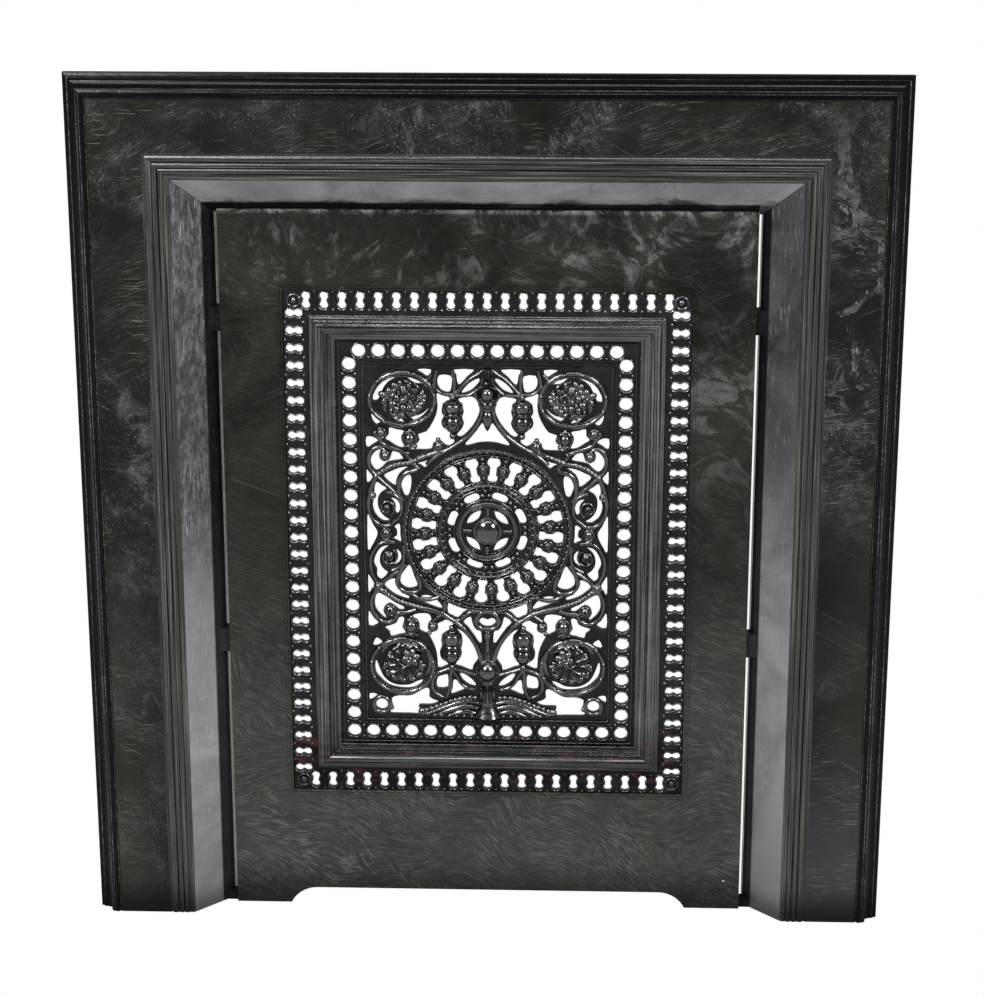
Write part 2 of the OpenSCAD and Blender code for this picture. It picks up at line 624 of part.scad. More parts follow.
// round the lower vase, its loops and the pendant in the middle
module lower_vase() {
    pair([[-78.2, -74.4], [-71.8, -71.8], [-66.8, -71], [-59.3, -71.6], [-56.6, -77.6],
          [-60, -82], [-59.6, -87], [-55, -90.4], [-50.2, -86.8], [-51, -82.4],
          [-45.5, -79.6], [-41.8, -77.6], [-35.2, -80.8], [-35.9, -85], [-38.4, -88.8],
          [-44.3, -92.5], [-47, -99.2], [-45.9, -105], [-48.2, -110.8], [-47.4, -117.5],
          [-44.3, -121], [-39.6, -124.8], [-43.4, -127.6], [-49.7, -129.4],
          [-50.5, -120], [-51.8, -110.8], [-55.1, -101.7], [-60.1, -93.3],
          [-67.6, -89.6], [-68.4, -83.3], [-70.9, -78.2], [-74.8, -76.6]]);
    pair([[-31, -87.2], [-26.6, -89], [-21.6, -94], [-16.6, -100.8], [-11.8, -110],
          [-9.5, -116.7], [-10.9, -121], [-14.7, -126.7], [-15.7, -131.6],
          [-20.9, -130.2], [-26.8, -127.7], [-32.8, -125.6], [-28.4, -120],
          [-25.8, -113.4], [-26.6, -108.6], [-25, -100], [-26.8, -93]]);
    pair([[-50, -139], [-45, -137], [-40.8, -136], [-39.8, -141], [-40.2, -148.3],
          [-42, -150.8], [-50, -151], [-51.5, -145]]);
    pair([[-34.3, -142], [-31, -142.6], [-26.8, -147.5], [-22.8, -151.7], [-29.3, -155],
          [-36.8, -157.6], [-35.2, -150]]);
    pair([[-28.2, -134.8], [-23.4, -135.6], [-18.2, -139], [-13.2, -144], [-11.6, -148.6],
          [-17.6, -147.6], [-24.3, -142.6]]);
    pair([[-24.4, -79.4], [-17.4, -74], [-15.9, -78.3], [-14, -84.2], [-10.5, -88.4],
          [-6.6, -90], [-6, -100.8], [-8, -102.2], [-12.6, -95], [-18.4, -86.8]]);
    single([[0, -76.8], [-4.8, -75], [-8, -77.5], [-7.6, -80.4], [-4.3, -83.8], [0, -84.6]]);
}

module border_holes() {
    for (i = [0:ib_across - 1])
        tube((i - (ib_across - 1) / 2) * ib_px, -ib_low, ib_r, 32);
    for (i = [0:ib_across - 2])
        tube((i - (ib_across - 2) / 2) * ib_px, ib_top, ib_r, 32);
    for (s = [-1, 1], i = [1:ib_up])
        tube(s * ib_hw, -ib_low + i * ib_pz, ib_r, 32);
}

// outline of one opening between two spokes: round at both ends and waisted between
wheel_in = 54.6;
wheel_out = 70.6;
wheel_gap_outline = concat(
    oval(0, wheel_out, 6.3, 6.3, -60, 240, 10),
    oval(0, wheel_in, 4.9, 4.9, 127, 413, 8));

// slot of width w with round ends, along an arc of radius r and half angle a
function arc_slot(r, w, a) = concat(
    [for (k = [-2:2]) (r + w / 2) * [sin(a * k / 2), cos(a * k / 2)]],
    [for (k = [1:4]) r * [sin(a), cos(a)] + w / 2 * [sin(a + 36 * k), cos(a + 36 * k)]],
    [for (k = [2:-1:-2]) (r - w / 2) * [sin(a * k / 2), cos(a * k / 2)]],
    [for (k = [6:9]) r * [-sin(a), cos(a)] + w / 2 * [sin(36 * k - a), cos(36 * k - a)]]);

// the wheel in the middle: a hub, eight windows and twenty waisted openings
module wheel_openings() {
    translate([0, 0, med_v * kz]) {
        for (i = [0:19]) rotate([0, 5.3 + 18 * i, 0])
            xz_prism(panel_d0 - 4, panel_d1 + 2) polygon(kw * wheel_gap_outline);
        for (i = [0:7]) rotate([0, 20 + 45 * i, 0]) xz_prism(panel_d0 - 4, panel_d1 + 2)
            polygon(kw * arc_slot(36.8, 8, 6.5));
        for (i = [0:3]) rotate([0, 46 + 90 * i, 0]) xz_prism(panel_d0 - 4, panel_d1 + 2)
            polygon(kw * concat([for (k = [-4:4]) [2.5 * k, 23 - 0.22 * k * k]],
                                [for (k = [3:-1:-3]) [2.5 * k, 15.4 + 0.25 * k * k]]));
    }
}

// rims that stand up on the wheel: inner and outer radius
wheel_rims = [[81.4, 85], [45.8, 49], [26.4, 31]];

module raised_rims() {
    for (r = wheel_rims) difference() {
        rod(0, med_v * kz, r[1] * kw, panel_d0 - wheel_rise, panel_d0 + 1, 120);
        rod(0, med_v * kz, r[0] * kw, panel_d0 - wheel_rise - 1, panel_d0 + 2, 120);
    }
}

// bosses that stand on the scrollwork
module ball_at(x, z, r) {
    intersection() {
        translate([x, panel_d0 + 1, z]) sphere(r = r * kw);
        translate([x - 20, panel_d0 - 20, z - 20]) cube([40, 22.5, 40]);
    }
}

// low dome of radius r under the flower or the leaves of a roundel
module low_dome(u, v, r) {
    R = (r * r + dome_rise * dome_rise) / 2 / dome_rise;
    intersection() {
        translate([u * kx, panel_d0 - dome_rise + R, v * kz]) sphere(r = R, $fn = 120);
        rod(u * kx, v * kz, r + 1, panel_d0 - dome_rise - 1, panel_d0 + 0.5, 60);
    }
}

module ball(u, v, r) {
    ball_at(u * kx, v * kz, r);
}

module balls() {
    both_sides() {
        ball(-76.5, 111.5, 6.8);
        ball(-48.3, 103.7, 4.8);
        ball(-101.3, 93.3, 4.4);
        ball(-105, 117, 5);
        ball(-100, 40, 5);
        ball(-98.5, -11, 6);
        ball(-98, -67.5, 5);
        ball(-76.5, -84, 7.2);
        ball(-55, -85, 4.3);
        ball(-34.2, 142.5, 8);
        ball(-34.2, 125, 8);
        ball(-36, -98.5, 9);
        ball(-36, -116, 8.5);
        low_dome(-84, 152, 16.5);
        low_dome(-87, -129, 15.5);
    }
    ball(0, 153.7, 7.8);
    ball(0, -131.7, 10);
    for (i = [0:19])
        ball_at(62.4 * kw * sin(14.3 + 18 * i), med_v * kz + 62.4 * kw * cos(14.3 + 18 * i), 5.4);
}

module tracery_panel() {
    color("black") translate([0, 0, grille_z]) difference() {
        union() {
            difference() {
                translate([-p_hw, panel_d0, -p_hh]) cube([2 * p_hw, tracery_t, 2 * p_hh]);
                border_holes();
                wheel_openings();
                upper_roundels();
                upper_stems();
                upper_vase();
                upper_scrolls();
                side_scrolls();
                lower_scrolls();
                lower_roundels();
                lower_vase();
            }
            balls();
            raised_rims();
        }
        rod(0, med_v * kz, stud_r + pass_gap, panel_d0 - 5, panel_d1 + 5, 24);
        for (s = [-1, 1], k = panel_screw_z)
            rod(s * (mi_hw + panel_lap / 2), k * mi_hh, screw_r + pass_gap, panel_d0 - 1,
                panel_d1 + 1, 16);
        for (s = [-1, 1])
            rod(0, s * (mi_hh + panel_lap / 2), screw_r + pass_gap, panel_d0 - 1,
                panel_d1 + 1, 16);
    }
}

// ---------- boss, nut and screws ----------
boss_seat = panel_d0 - seat_gap;

module centre_boss() {
    color("black") translate([0, boss_seat, grille_z + med_v * kz]) rotate([90, 0, 0]) {
        rotate_extrude($fn = 48)
            polygon(concat([[0, 0], [boss_r, 0], [boss_r, 2], [boss_r - 1.2, 3],
                            [boss_r - 2.4, 3]],
                           [for (i = [0:6]) [(boss_r - 2.4) * cos(15 * i),
                                             3.6 + (boss_rise - 3.6) * sin(15 * i)]],
                           [[0, boss_rise]]));
        translate([0, 0, -tracery_t - seat_gap - nut_t - 1])
            cylinder(h = tracery_t + seat_gap + nut_t + 2, r = stud_r, $fn = 24);
    }
}

module boss_nut() {
    color("silver") difference() {
        rod(0, grille_z + med_v * kz, nut_r, panel_d1 + seat_gap, panel_d1 + seat_gap + nut_t, 6);
        rod(0, grille_z + med_v * kz, stud_r + screw_gap, panel_d1 - 2, panel_d1 + nut_t + 4, 24);
    }
}

module screw(x, z, seat, tip) {
    rod(x, z, screw_r - screw_gap, tip, seat + 1, 16);
    difference() {
        rod(x, z, screw_head_r, seat + seat_gap, seat + seat_gap + screw_head_t, 24);
        translate([x - 6, seat + seat_gap + screw_head_t - 1, z - 0.5]) cube([12, 3, 1]);
    }
}

module frame_screws() {
    color("silver") {
        for (s = [-1, 1], k = frame_screw_z)
            screw(s * (win_hw + frame_screw_off), grille_z + k * g_hh, flange_d1,
                  cover_d1 - screw_bite);
        for (s = [-1, 1], k = frame_screw_x)
            screw(k * g_hw, grille_z + s * (win_hh + frame_screw_off), flange_d1,
                  cover_d1 - screw_bite);
    }
}

module panel_screws() {
    color("silver") {
        for (s = [-1, 1], k = panel_screw_z)
            screw(s * (mi_hw + panel_lap / 2), grille_z + k * mi_hh, panel_d1,
                  flange_d1 - panel_bite);
        for (s = [-1, 1])
            screw(0, grille_z + s * (mi_hh + panel_lap / 2), panel_d1, flange_d1 - panel_bite);
    }
}

module in_place() {
    translate([0, -mid_d, 0]) children();
}

in_place() face_frame();
in_place() header_splay();
in_place() left_splay();
in_place() right_splay();
in_place() splay_bolts();
in_place() cover_plate();
in_place() grille_frame();
in_place() tracery_panel();
in_place() centre_boss();
in_place() boss_nut();
in_place() frame_screws();
in_place() panel_screws();
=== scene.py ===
"""Looks of a cast iron fireplace with a summer cover: materials, relief of the grille, light and
camera. Metres, X to the right, Y towards the wall, Z up, the origin on the hearth."""
import json
import math

import bpy
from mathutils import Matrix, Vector


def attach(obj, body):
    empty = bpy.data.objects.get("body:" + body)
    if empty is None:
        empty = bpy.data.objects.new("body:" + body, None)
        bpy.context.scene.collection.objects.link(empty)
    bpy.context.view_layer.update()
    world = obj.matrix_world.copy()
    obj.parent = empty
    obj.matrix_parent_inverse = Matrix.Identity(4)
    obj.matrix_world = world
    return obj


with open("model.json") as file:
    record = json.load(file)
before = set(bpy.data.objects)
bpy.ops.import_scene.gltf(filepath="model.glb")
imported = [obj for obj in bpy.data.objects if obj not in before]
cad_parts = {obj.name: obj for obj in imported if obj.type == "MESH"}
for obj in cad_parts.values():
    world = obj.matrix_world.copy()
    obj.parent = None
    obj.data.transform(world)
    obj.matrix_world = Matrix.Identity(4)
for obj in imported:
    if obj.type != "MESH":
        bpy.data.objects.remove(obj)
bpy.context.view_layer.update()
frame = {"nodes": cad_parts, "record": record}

H = 0.859  # height of the frame
HALF_W = 0.4  # half its width over the outer moulding
MID = 0.030  # depth of the origin behind the frame's front plane
GZ = 0.388  # height of the grille's middle
FRONT = 0.0352 - MID  # front face of the tracery casting
BORDER = 0.0295 - MID  # front face of the pierced outer border
COVER = 0.028 - MID  # front face of the cover plate
COVER_HALF_W = 0.26  # half its width
TALLER = 0.0623  # half height less half width of the moulding round the tracery
BAND_FROM, BAND_TO = 0.0235, 0.0745  # the plain band, as distances from the frame's outer edge
ARRISES = (0.0046, 0.0142, 0.0168, 0.0221)  # those of the outer moulding, from the same edge
SOFT = 0.001  # half the blend at the sides of the band
MITRE = 0.0004  # half the blend across a mitre
# painted shade: near-black for the castings' foot and for the shadow beside the cover
PAINTED_SHADE_BLACK = (0.002, 0.002, 0.002)


# ---------------------------------------------------------------- node helpers
class Tree:
    """A short way to write a material's nodes. Colours are given without their alpha."""

    def __init__(self, name):
        self.mat = bpy.data.materials.new(name)
        self.mat.use_nodes = True
        self.t = self.mat.node_tree
        self.t.nodes.clear()
        self.out = self.t.nodes.new("ShaderNodeOutputMaterial")

    def node(self, kind, **kw):
        n = self.t.nodes.new(kind)
        for k, v in kw.items():
            setattr(n, k, v)
        return n

    def link(self, a, b):
        self.t.links.new(a, b)

    def feed(self, socket, value):
        if isinstance(value, bpy.types.NodeSocket):
            self.link(value, socket)
        elif socket.type == "RGBA":
            socket.default_value = (*value, 1)
        else:
            socket.default_value = value

    def math(self, op, a, b=0.0):
        n = self.node("ShaderNodeMath", operation=op)
        self.feed(n.inputs[0], a)
        self.feed(n.inputs[1], b)
        return n.outputs[0]

    def add(self, a, b):
        return self.math("ADD", a, b)

    def sub(self, a, b):
        return self.math("SUBTRACT", a, b)

    def inverse(self, a):
        return self.sub(1.0, a)

    def size(self, a):
        return self.math("ABSOLUTE", a)

    def mul(self, *parts):
        out = parts[0]
        for p in parts[1:]:
            out = self.math("MULTIPLY", out, p)
        return out

    def most(self, *parts):
        out = parts[0]
        for p in parts[1:]:
            out = self.math("MAXIMUM", out, p)
        return out

    def ramp(self, x, lo, hi, a=0.0, b=1.0):
        """A smooth step from a at lo to b at hi."""
        n = self.node("ShaderNodeMapRange", interpolation_type="SMOOTHSTEP")
        self.feed(n.inputs["Value"], x)
        n.inputs["From Min"].default_value = lo
        n.inputs["From Max"].default_value = hi
        self.feed(n.inputs["To Min"], a)
        self.feed(n.inputs["To Max"], b)
        return n.outputs[0]

    def near(self, x, at, lo, hi):
        """1 where x is within lo of the value at, 0 where it is hi or more away."""
        return self.ramp(self.size(self.sub(x, at)), lo, hi, 1.0, 0.0)

    def noise(self, vec, scale, detail, rough, distort=0.0, stretch=(1, 1, 1), turn=0.0,
              shift=(0, 0, 0)):
        """Noise, stretched after the space was turned about Y."""
        if turn:
            r = self.node("ShaderNodeMapping")
            self.link(vec, r.inputs["Vector"])
            r.inputs["Rotation"].default_value = (0, turn, 0)
            vec = r.outputs[0]
        m = self.node("ShaderNodeMapping")
        self.link(vec, m.inputs["Vector"])
        m.inputs["Scale"].default_value = stretch
        m.inputs["Location"].default_value = shift
        n = self.node("ShaderNodeTexNoise")
        self.link(m.outputs[0], n.inputs["Vector"])
        n.inputs["Scale"].default_value = scale
        n.inputs["Detail"].default_value = detail
        n.inputs["Roughness"].default_value = rough
        n.inputs["Distortion"].default_value = distort
        return n.outputs[0]

    def warp(self, vec, scale, amount):
        """Space bent by a broad noise."""
        n = self.node("ShaderNodeTexNoise")
        self.link(vec, n.inputs["Vector"])
        n.inputs["Scale"].default_value = scale
        n.inputs["Detail"].default_value = 1.0
        s = self.node("ShaderNodeVectorMath", operation="SCALE")
        self.link(n.outputs["Color"], s.inputs[0])
        s.inputs["Scale"].default_value = amount
        add = self.node("ShaderNodeVectorMath", operation="ADD")
        self.link(vec, add.inputs[0])
        self.link(s.outputs[0], add.inputs[1])
        return add.outputs[0]

    def mix(self, fac, a, b):
        n = self.node("ShaderNodeMix", data_type="FLOAT")
        self.feed(n.inputs[0], fac)
        self.feed(n.inputs[2], a)
        self.feed(n.inputs[3], b)
        return n.outputs[0]

    def colour(self, fac, a, b):
        n = self.node("ShaderNodeMix", data_type="RGBA")
        self.feed(n.inputs[0], fac)
        self.feed(n.inputs[6], a)
        self.feed(n.inputs[7], b)
        return n.outputs[2]

    def bump(self, height, strength, distance, normal=None):
        n = self.node("ShaderNodeBump")
        self.link(height, n.inputs["Height"])
        n.inputs["Strength"].default_value = strength
        n.inputs["Distance"].default_value = distance
        if normal is not None:
            self.link(normal, n.inputs["Normal"])
        return n.outputs[0]

    def shade(self, colour, rough, normal, specular=0.5, metallic=0.0, coat=0.0, coat_rough=0.1,
              usual=0.5):
        """The shader; usual is what its specular socket holds where a link to it isn't followed."""
        s = self.node("ShaderNodeBsdfPrincipled")
        self.feed(s.inputs["Base Color"], colour)
        self.feed(s.inputs["Roughness"], rough)
        self.feed(s.inputs["Metallic"], metallic)
        s.inputs["Specular IOR Level"].default_value = usual
        self.feed(s.inputs["Specular IOR Level"], specular)
        self.feed(s.inputs["Coat Weight"], coat)
        self.feed(s.inputs["Coat Roughness"], coat_rough)
        self.link(normal, s.inputs["Normal"])
        self.link(s.outputs[0], self.out.inputs[0])
        return self.mat


# ---------------------------------------------------------------- masks and marks
def object_space(t):
    """The point in the object's own frame, whole and as x, y and z."""
    c = t.node("ShaderNodeTexCoord")
    sep = t.node("ShaderNodeSeparateXYZ")
    t.link(c.outputs["Object"], sep.inputs[0])
    return (c.outputs["Object"], *sep.outputs)


def from_edges(t, x, z):
    """Distances in metres from the frame's nearer side and from its top."""
    return t.sub(HALF_W, t.size(x)), t.sub(H, z)


def edge_distance(t, x, z):
    """Distance in metres from the frame's outer edge."""
    return t.math("MINIMUM", *from_edges(t, x, z))


def header_mask(t, x, z):
    """1 on the header and 0 on the jambs, split along the mitres."""
    return t.ramp(t.sub(*from_edges(t, x, z)), -MITRE, MITRE)


def shade_fade_at_foot(t, z, low, reach=0.034):
    """Falls from 1 at the height reach to low at the hearth: the mask of the painted shade where
    the castings meet the hearth.
    """
    return t.ramp(z, 0.002, reach, low, 1.0)


def behind(t, x, y, cheek):
    """1 in the shadow beside the cover, in a broader strip on the left than on the right."""
    lit = 0.272  # x from which the right cheek is lit
    left = t.ramp(y, COVER - 0.0008, COVER + 0.0012)
    right = t.most(t.ramp(y, COVER + 0.0095, COVER + 0.0130),
                   t.mul(cheek, t.ramp(x, lit + 0.0008, lit - 0.0008)))
    return t.mix(t.ramp(x, COVER_HALF_W - 0.0005, COVER_HALF_W + 0.0005), left, right)


def scratches(t, vec, turn, shift):
    """Few long thin scratches along one slant."""
    line = t.noise(vec, 1.0, 2, 0.5, stretch=(7, 20, 1500), turn=turn, shift=shift)
    where = t.noise(vec, 10.0, 2, 0.5, shift=shift)
    return t.mul(t.ramp(line, 0.68, 0.74), t.ramp(where, 0.54, 0.62))


def level_scratches(t, vec, line, where):
    """Short scratches lying level: they show where the noise of the marks passes line and that of
    the places passes where."""
    marks = t.noise(vec, 1.0, 3, 0.6, stretch=(34, 30, 900), shift=(5, 1, 9))
    places = t.noise(vec, 15.0, 2, 0.5, 0.4, shift=(1, 8, 4))
    return t.mul(t.ramp(marks, line, line + 0.10), t.ramp(places, where, where + 0.10))


def specks(t, vec, scale, lo, hi):
    """Fine bright specks."""
    return t.ramp(t.noise(vec, scale, 3, 0.6), lo, hi)


def casting(t, vec, col, rough, spec, brush, usual, grain=1.0):
    """Skin shared by the black castings: fine grain, brush marks and pits in the bump."""
    pits = t.noise(vec, 420.0, 4, 0.6)
    wavy = t.noise(vec, 34.0, 3, 0.5)
    nrm = t.bump(wavy, 0.25 * grain, 0.0016)
    nrm = t.bump(pits, 0.26 * grain, 0.0005, nrm)
    nrm = t.bump(brush, 0.30 * grain, 0.0004, nrm)
    return t.shade(col, rough, nrm, specular=spec, usual=usual)


# ---------------------------------------------------------------- looks
def frame_look():
    """Plain band with faint scuffs, mouldings glossier and darker on both of its sides."""
    t = Tree("frame_iron_look")
    vec, x, _, z = object_space(t)
    header = header_mask(t, x, z)
    d = edge_distance(t, x, z)
    outer = t.ramp(d, BAND_FROM - SOFT, BAND_FROM + SOFT, 1.0, 0.0)
    band = t.mul(t.ramp(d, BAND_FROM - SOFT, BAND_FROM + SOFT),
                 t.ramp(d, BAND_TO - SOFT, BAND_TO + SOFT, 1.0, 0.0))
    bent = t.warp(vec, 5.0, 0.05)
    patch = t.noise(vec, 13.0, 4, 0.6, 0.8)
    patch2 = t.noise(vec, 9.0, 4, 0.6, 0.8, shift=(3, 7, 1))

    # marks of the band: fine rubbing along two slants, each in its own patches, haze and specks
    rub_a = t.noise(bent, 1.0, 5, 0.7, 0.2, stretch=(60, 60, 620), turn=0.30)
    rub_b = t.noise(bent, 1.0, 5, 0.7, 0.2, stretch=(560, 60, 70), turn=0.42, shift=(2, 2, 2))
    rub = t.most(t.mul(t.ramp(rub_a, 0.50, 0.72), t.ramp(patch, 0.46, 0.68)),
                 t.mul(t.ramp(rub_b, 0.50, 0.72), t.ramp(patch2, 0.50, 0.70)))
    haze = t.mul(t.ramp(t.noise(bent, 42.0, 7, 0.74, 1.0, shift=(8, 1, 3)), 0.48, 0.66),
                 t.ramp(patch2, 0.46, 0.64))
    speck = t.mul(specks(t, vec, 460.0, 0.58, 0.72), t.ramp(patch2, 0.38, 0.66))
    cuts = t.most(scratches(t, vec, 0.38, (1, 2, 3)), scratches(t, vec, -0.5, (4, 2, 8)))
    # pale cloudy waves with a brighter fringe on the upper right jamb
    wave = t.noise(t.warp(vec, 9.0, 0.10), 26.0, 4, 0.6, 1.2, shift=(6, 2, 2))
    region = t.mul(t.ramp(x, 0.318, 0.335), t.ramp(z, 0.40, 0.62), t.ramp(z, 0.84, 0.76))
    cloud = t.mul(t.ramp(wave, 0.50, 0.62), t.ramp(wave, 0.74, 0.62),
                  t.ramp(t.noise(vec, 70.0, 6, 0.75), 0.38, 0.60), region)
    fringe = t.mul(t.near(wave, 0.555, 0.0, 0.013),
                   t.ramp(t.noise(vec, 150.0, 4, 0.65), 0.42, 0.60), region)
    # lower parts: greyer towards the outer moulding, calmer on both sides, a painted blue-tinted
    # sheen at the right foot
    low_side = t.mul(t.ramp(z, 0.52, 0.10), t.ramp(d, 0.078, 0.030))
    calm_right = t.mul(t.ramp(x, 0.0, 0.30), t.ramp(z, 0.55, 0.35))
    calm_left = t.mul(t.ramp(x, 0.0, -0.30), t.ramp(z, 0.50, 0.32))
    calm = t.mul(t.ramp(calm_right, 0.0, 1.0, 1.0, 0.28), t.ramp(calm_left, 0.0, 1.0, 1.0, 0.42))
    bluish_sheen = t.mul(t.ramp(x, 0.0, 0.30), t.ramp(z, 0.22, 0.06))

    col = t.colour(t.ramp(patch, 0.35, 0.65), (0.0016, 0.0020, 0.0010), (0.0040, 0.0043, 0.0026))
    for fac, tint in ((t.mul(low_side, 0.5), (0.014, 0.0135, 0.010)),
                      (t.mul(bluish_sheen, 0.7), (0.018, 0.019, 0.021)),
                      (t.mul(rub, calm, 0.72), (0.048, 0.049, 0.044)),
                      (t.mul(haze, calm, 0.60), (0.048, 0.049, 0.046)),
                      (t.mul(speck, calm, 0.60), (0.105, 0.105, 0.096)),
                      (t.mul(level_scratches(t, vec, 0.60, 0.50), 0.6), (0.100, 0.086, 0.066)),
                      (t.mul(cuts, 0.6), (0.085, 0.083, 0.072)),
                      (t.mul(cloud, 0.8), (0.046, 0.047, 0.048)),
                      (t.mul(fringe, 0.6), (0.11, 0.11, 0.11))):
        col = t.colour(fac, col, tint)

    # mouldings: streaks along them, the outer one deeper black with painted highlights on its
    # arrises
    side = t.noise(vec, 1.0, 4, 0.65, stretch=(1100, 60, 7), shift=(4, 4, 4))
    along = t.noise(vec, 1.0, 4, 0.65, stretch=(7, 60, 1100), shift=(4, 4, 4))
    line = t.mix(header, side, along)
    beads_col = t.colour(t.ramp(line, 0.50, 0.68), (0.003, 0.003, 0.0024), (0.060, 0.060, 0.052))
    deep = t.colour(t.ramp(line, 0.56, 0.72), (0.0008, 0.0008, 0.0008), (0.008, 0.008, 0.0075))
    arris = t.most(*[t.near(d, at, 0.0001, 0.0005) for at in ARRISES])
    arris_highlights = t.mul(arris, t.ramp(t.noise(vec, 330.0, 3, 0.6, shift=(2, 6, 6)), 0.42, 0.66, 0.30, 1.0),
                 t.ramp(t.noise(vec, 22.0, 3, 0.6, shift=(1, 5, 2)), 0.38, 0.58, 0.35, 1.0))
    # painted arris highlights, broken up as if rubbed, brighter on the header than on the jambs
    deep = t.colour(t.mul(arris_highlights, t.mix(header, 1.0, 0.45)), deep, (0.092, 0.092, 0.092))
    col = t.colour(band, t.colour(outer, beads_col, deep), col)

    # painted shade at the foot, in the colour and the specular
    foot = shade_fade_at_foot(t, z, 0.2, 0.048)
    col = t.colour(foot, PAINTED_SHADE_BLACK, col)
    rough = t.mix(band, t.mix(outer, t.ramp(line, 0.3, 0.7, 0.18, 0.34), 0.15),
                  t.add(t.ramp(rub, 0.0, 1.0, 0.34, 0.50), t.ramp(patch, 0.3, 0.7, -0.03, 0.05)))
    # the return of the outer moulding is duller
    rough = t.mix(t.ramp(d, 0.0003, 0.0010, 1.0, 0.0), rough, 0.65)
    spec = t.mul(t.mix(band, t.mix(outer, 0.55, 0.11), t.ramp(patch2, 0.3, 0.7, 0.12, 0.21)), foot)
    brush = t.mix(band, line, t.mix(0.5, rub_a, rub_b))
    return casting(t, vec, col, rough, spec, brush, usual=0.17)


def splay_look():
    """Smooth grey gloss that mirrors the pale floor; upper cheeks dark, the left one mottled."""
    t = Tree("splay_iron_look")
    vec, x, y, z = object_space(t)
    head = header_mask(t, x, z)
    cheek = t.inverse(head)
    left = t.ramp(x, -0.05, 0.05, 1.0, 0.0)
    up = t.mix(left, t.ramp(z, 0.30, 0.56), t.ramp(z, 0.27, 0.45))
    dark = t.mul(up, cheek)
    soft = t.noise(t.warp(vec, 6.0, 0.12), 9.0, 5, 0.62, 0.8)
    fine = t.noise(vec, 60.0, 5, 0.65, 0.6)
    mott = t.noise(t.warp(vec, 40.0, 0.012), 110.0, 8, 0.80, 0.3, stretch=(1, 1, 0.5),
                   shift=(3, 1, 2))
    lines = t.noise(vec, 1.0, 4, 0.65, 0.3, stretch=(900, 700, 50))
    crack = t.near(t.noise(vec, 16.0, 5, 0.6, 0.8, shift=(2, 9, 4)), 0.5, 0.0, 0.006)

    # header and lower cheeks: grey painted reflection of the pale floor, with streaks and cracks
    grey = t.colour(t.ramp(soft, 0.30, 0.70), (0.080, 0.080, 0.083), (0.165, 0.165, 0.171))
    grey = t.colour(t.mul(t.ramp(fine, 0.56, 0.75), 0.4), grey, (0.21, 0.21, 0.215))
    grey = t.colour(t.mul(t.ramp(lines, 0.54, 0.72), cheek, 0.5), grey, (0.23, 0.23, 0.23))
    grey = t.colour(t.mul(crack, head, t.ramp(x, -0.1, 0.05), 0.5), grey, (0.02, 0.02, 0.02))
    # the painted floor reflection is dimmer on the right lower cheek
    right_grey = t.colour(0.45, grey, (0.030, 0.030, 0.029))
    grey = t.colour(t.mul(cheek, t.inverse(left)), grey, right_grey)
    # the painted reflection fades darker towards the hearth on the cheeks
    grey = t.colour(t.mul(cheek, t.ramp(z, 0.16, 0.02), 0.6), grey, (0.020, 0.020, 0.022))
    # upper left cheek
    mottled = t.colour(t.ramp(mott, 0.40, 0.70), (0.009, 0.0095, 0.010), (0.068, 0.070, 0.072))
    speck = t.mul(specks(t, vec, 480.0, 0.63, 0.73), t.ramp(soft, 0.35, 0.60))
    mottled = t.colour(t.mul(speck, 0.7), mottled, (0.30, 0.31, 0.32))
    mottled = t.colour(t.mul(t.ramp(lines, 0.54, 0.68), t.ramp(soft, 0.4, 0.6)), mottled,
                       (0.14, 0.14, 0.14))
    # upper right cheek
    plain = t.colour(t.ramp(soft, 0.3, 0.7), (0.006, 0.0068, 0.0075), (0.026, 0.028, 0.030))
    plain = t.colour(t.mul(t.ramp(lines, 0.56, 0.70), t.ramp(mott, 0.40, 0.60)), plain,
                     (0.115, 0.120, 0.120))
    col = t.colour(dark, grey, t.colour(left, plain, mottled))

    # painted shadow of the cover's top: the header is darker towards the cover, with a ragged
    # boundary
    rag = t.sub(t.noise(vec, 30.0, 5, 0.65, 1.0, stretch=(0.5, 1, 1.6)), 0.5)
    ragged_top = t.add(t.sub(H, z), t.mul(rag, 0.034))
    shade = t.mul(head, t.ramp(ragged_top, 0.119, 0.128))
    col = t.colour(t.mul(shade, 0.9), col, (0.006, 0.006, 0.007))
    # painted shadow beside the cover and painted shade at the foot, in the colour and the specular
    outside_cover_shadow = t.inverse(t.mul(behind(t, x, y, cheek), 0.93))
    foot = t.mul(shade_fade_at_foot(t, z, 0.3), outside_cover_shadow)
    col = t.colour(foot, PAINTED_SHADE_BLACK, col)
    rough = t.mix(dark, t.ramp(soft, 0.3, 0.7, 0.26, 0.40), t.ramp(mott, 0.40, 0.65, 0.28, 0.44))
    lit = t.mix(head, t.mix(dark, 0.95, t.mix(left, 0.50, 0.55)), t.mix(shade, 1.0, 0.10))
    spec = t.mul(t.ramp(soft, 0.3, 0.7, 0.80, 1.0), lit, foot)
    return casting(t, vec, col, rough, spec, fine, usual=0.7, grain=0.8)


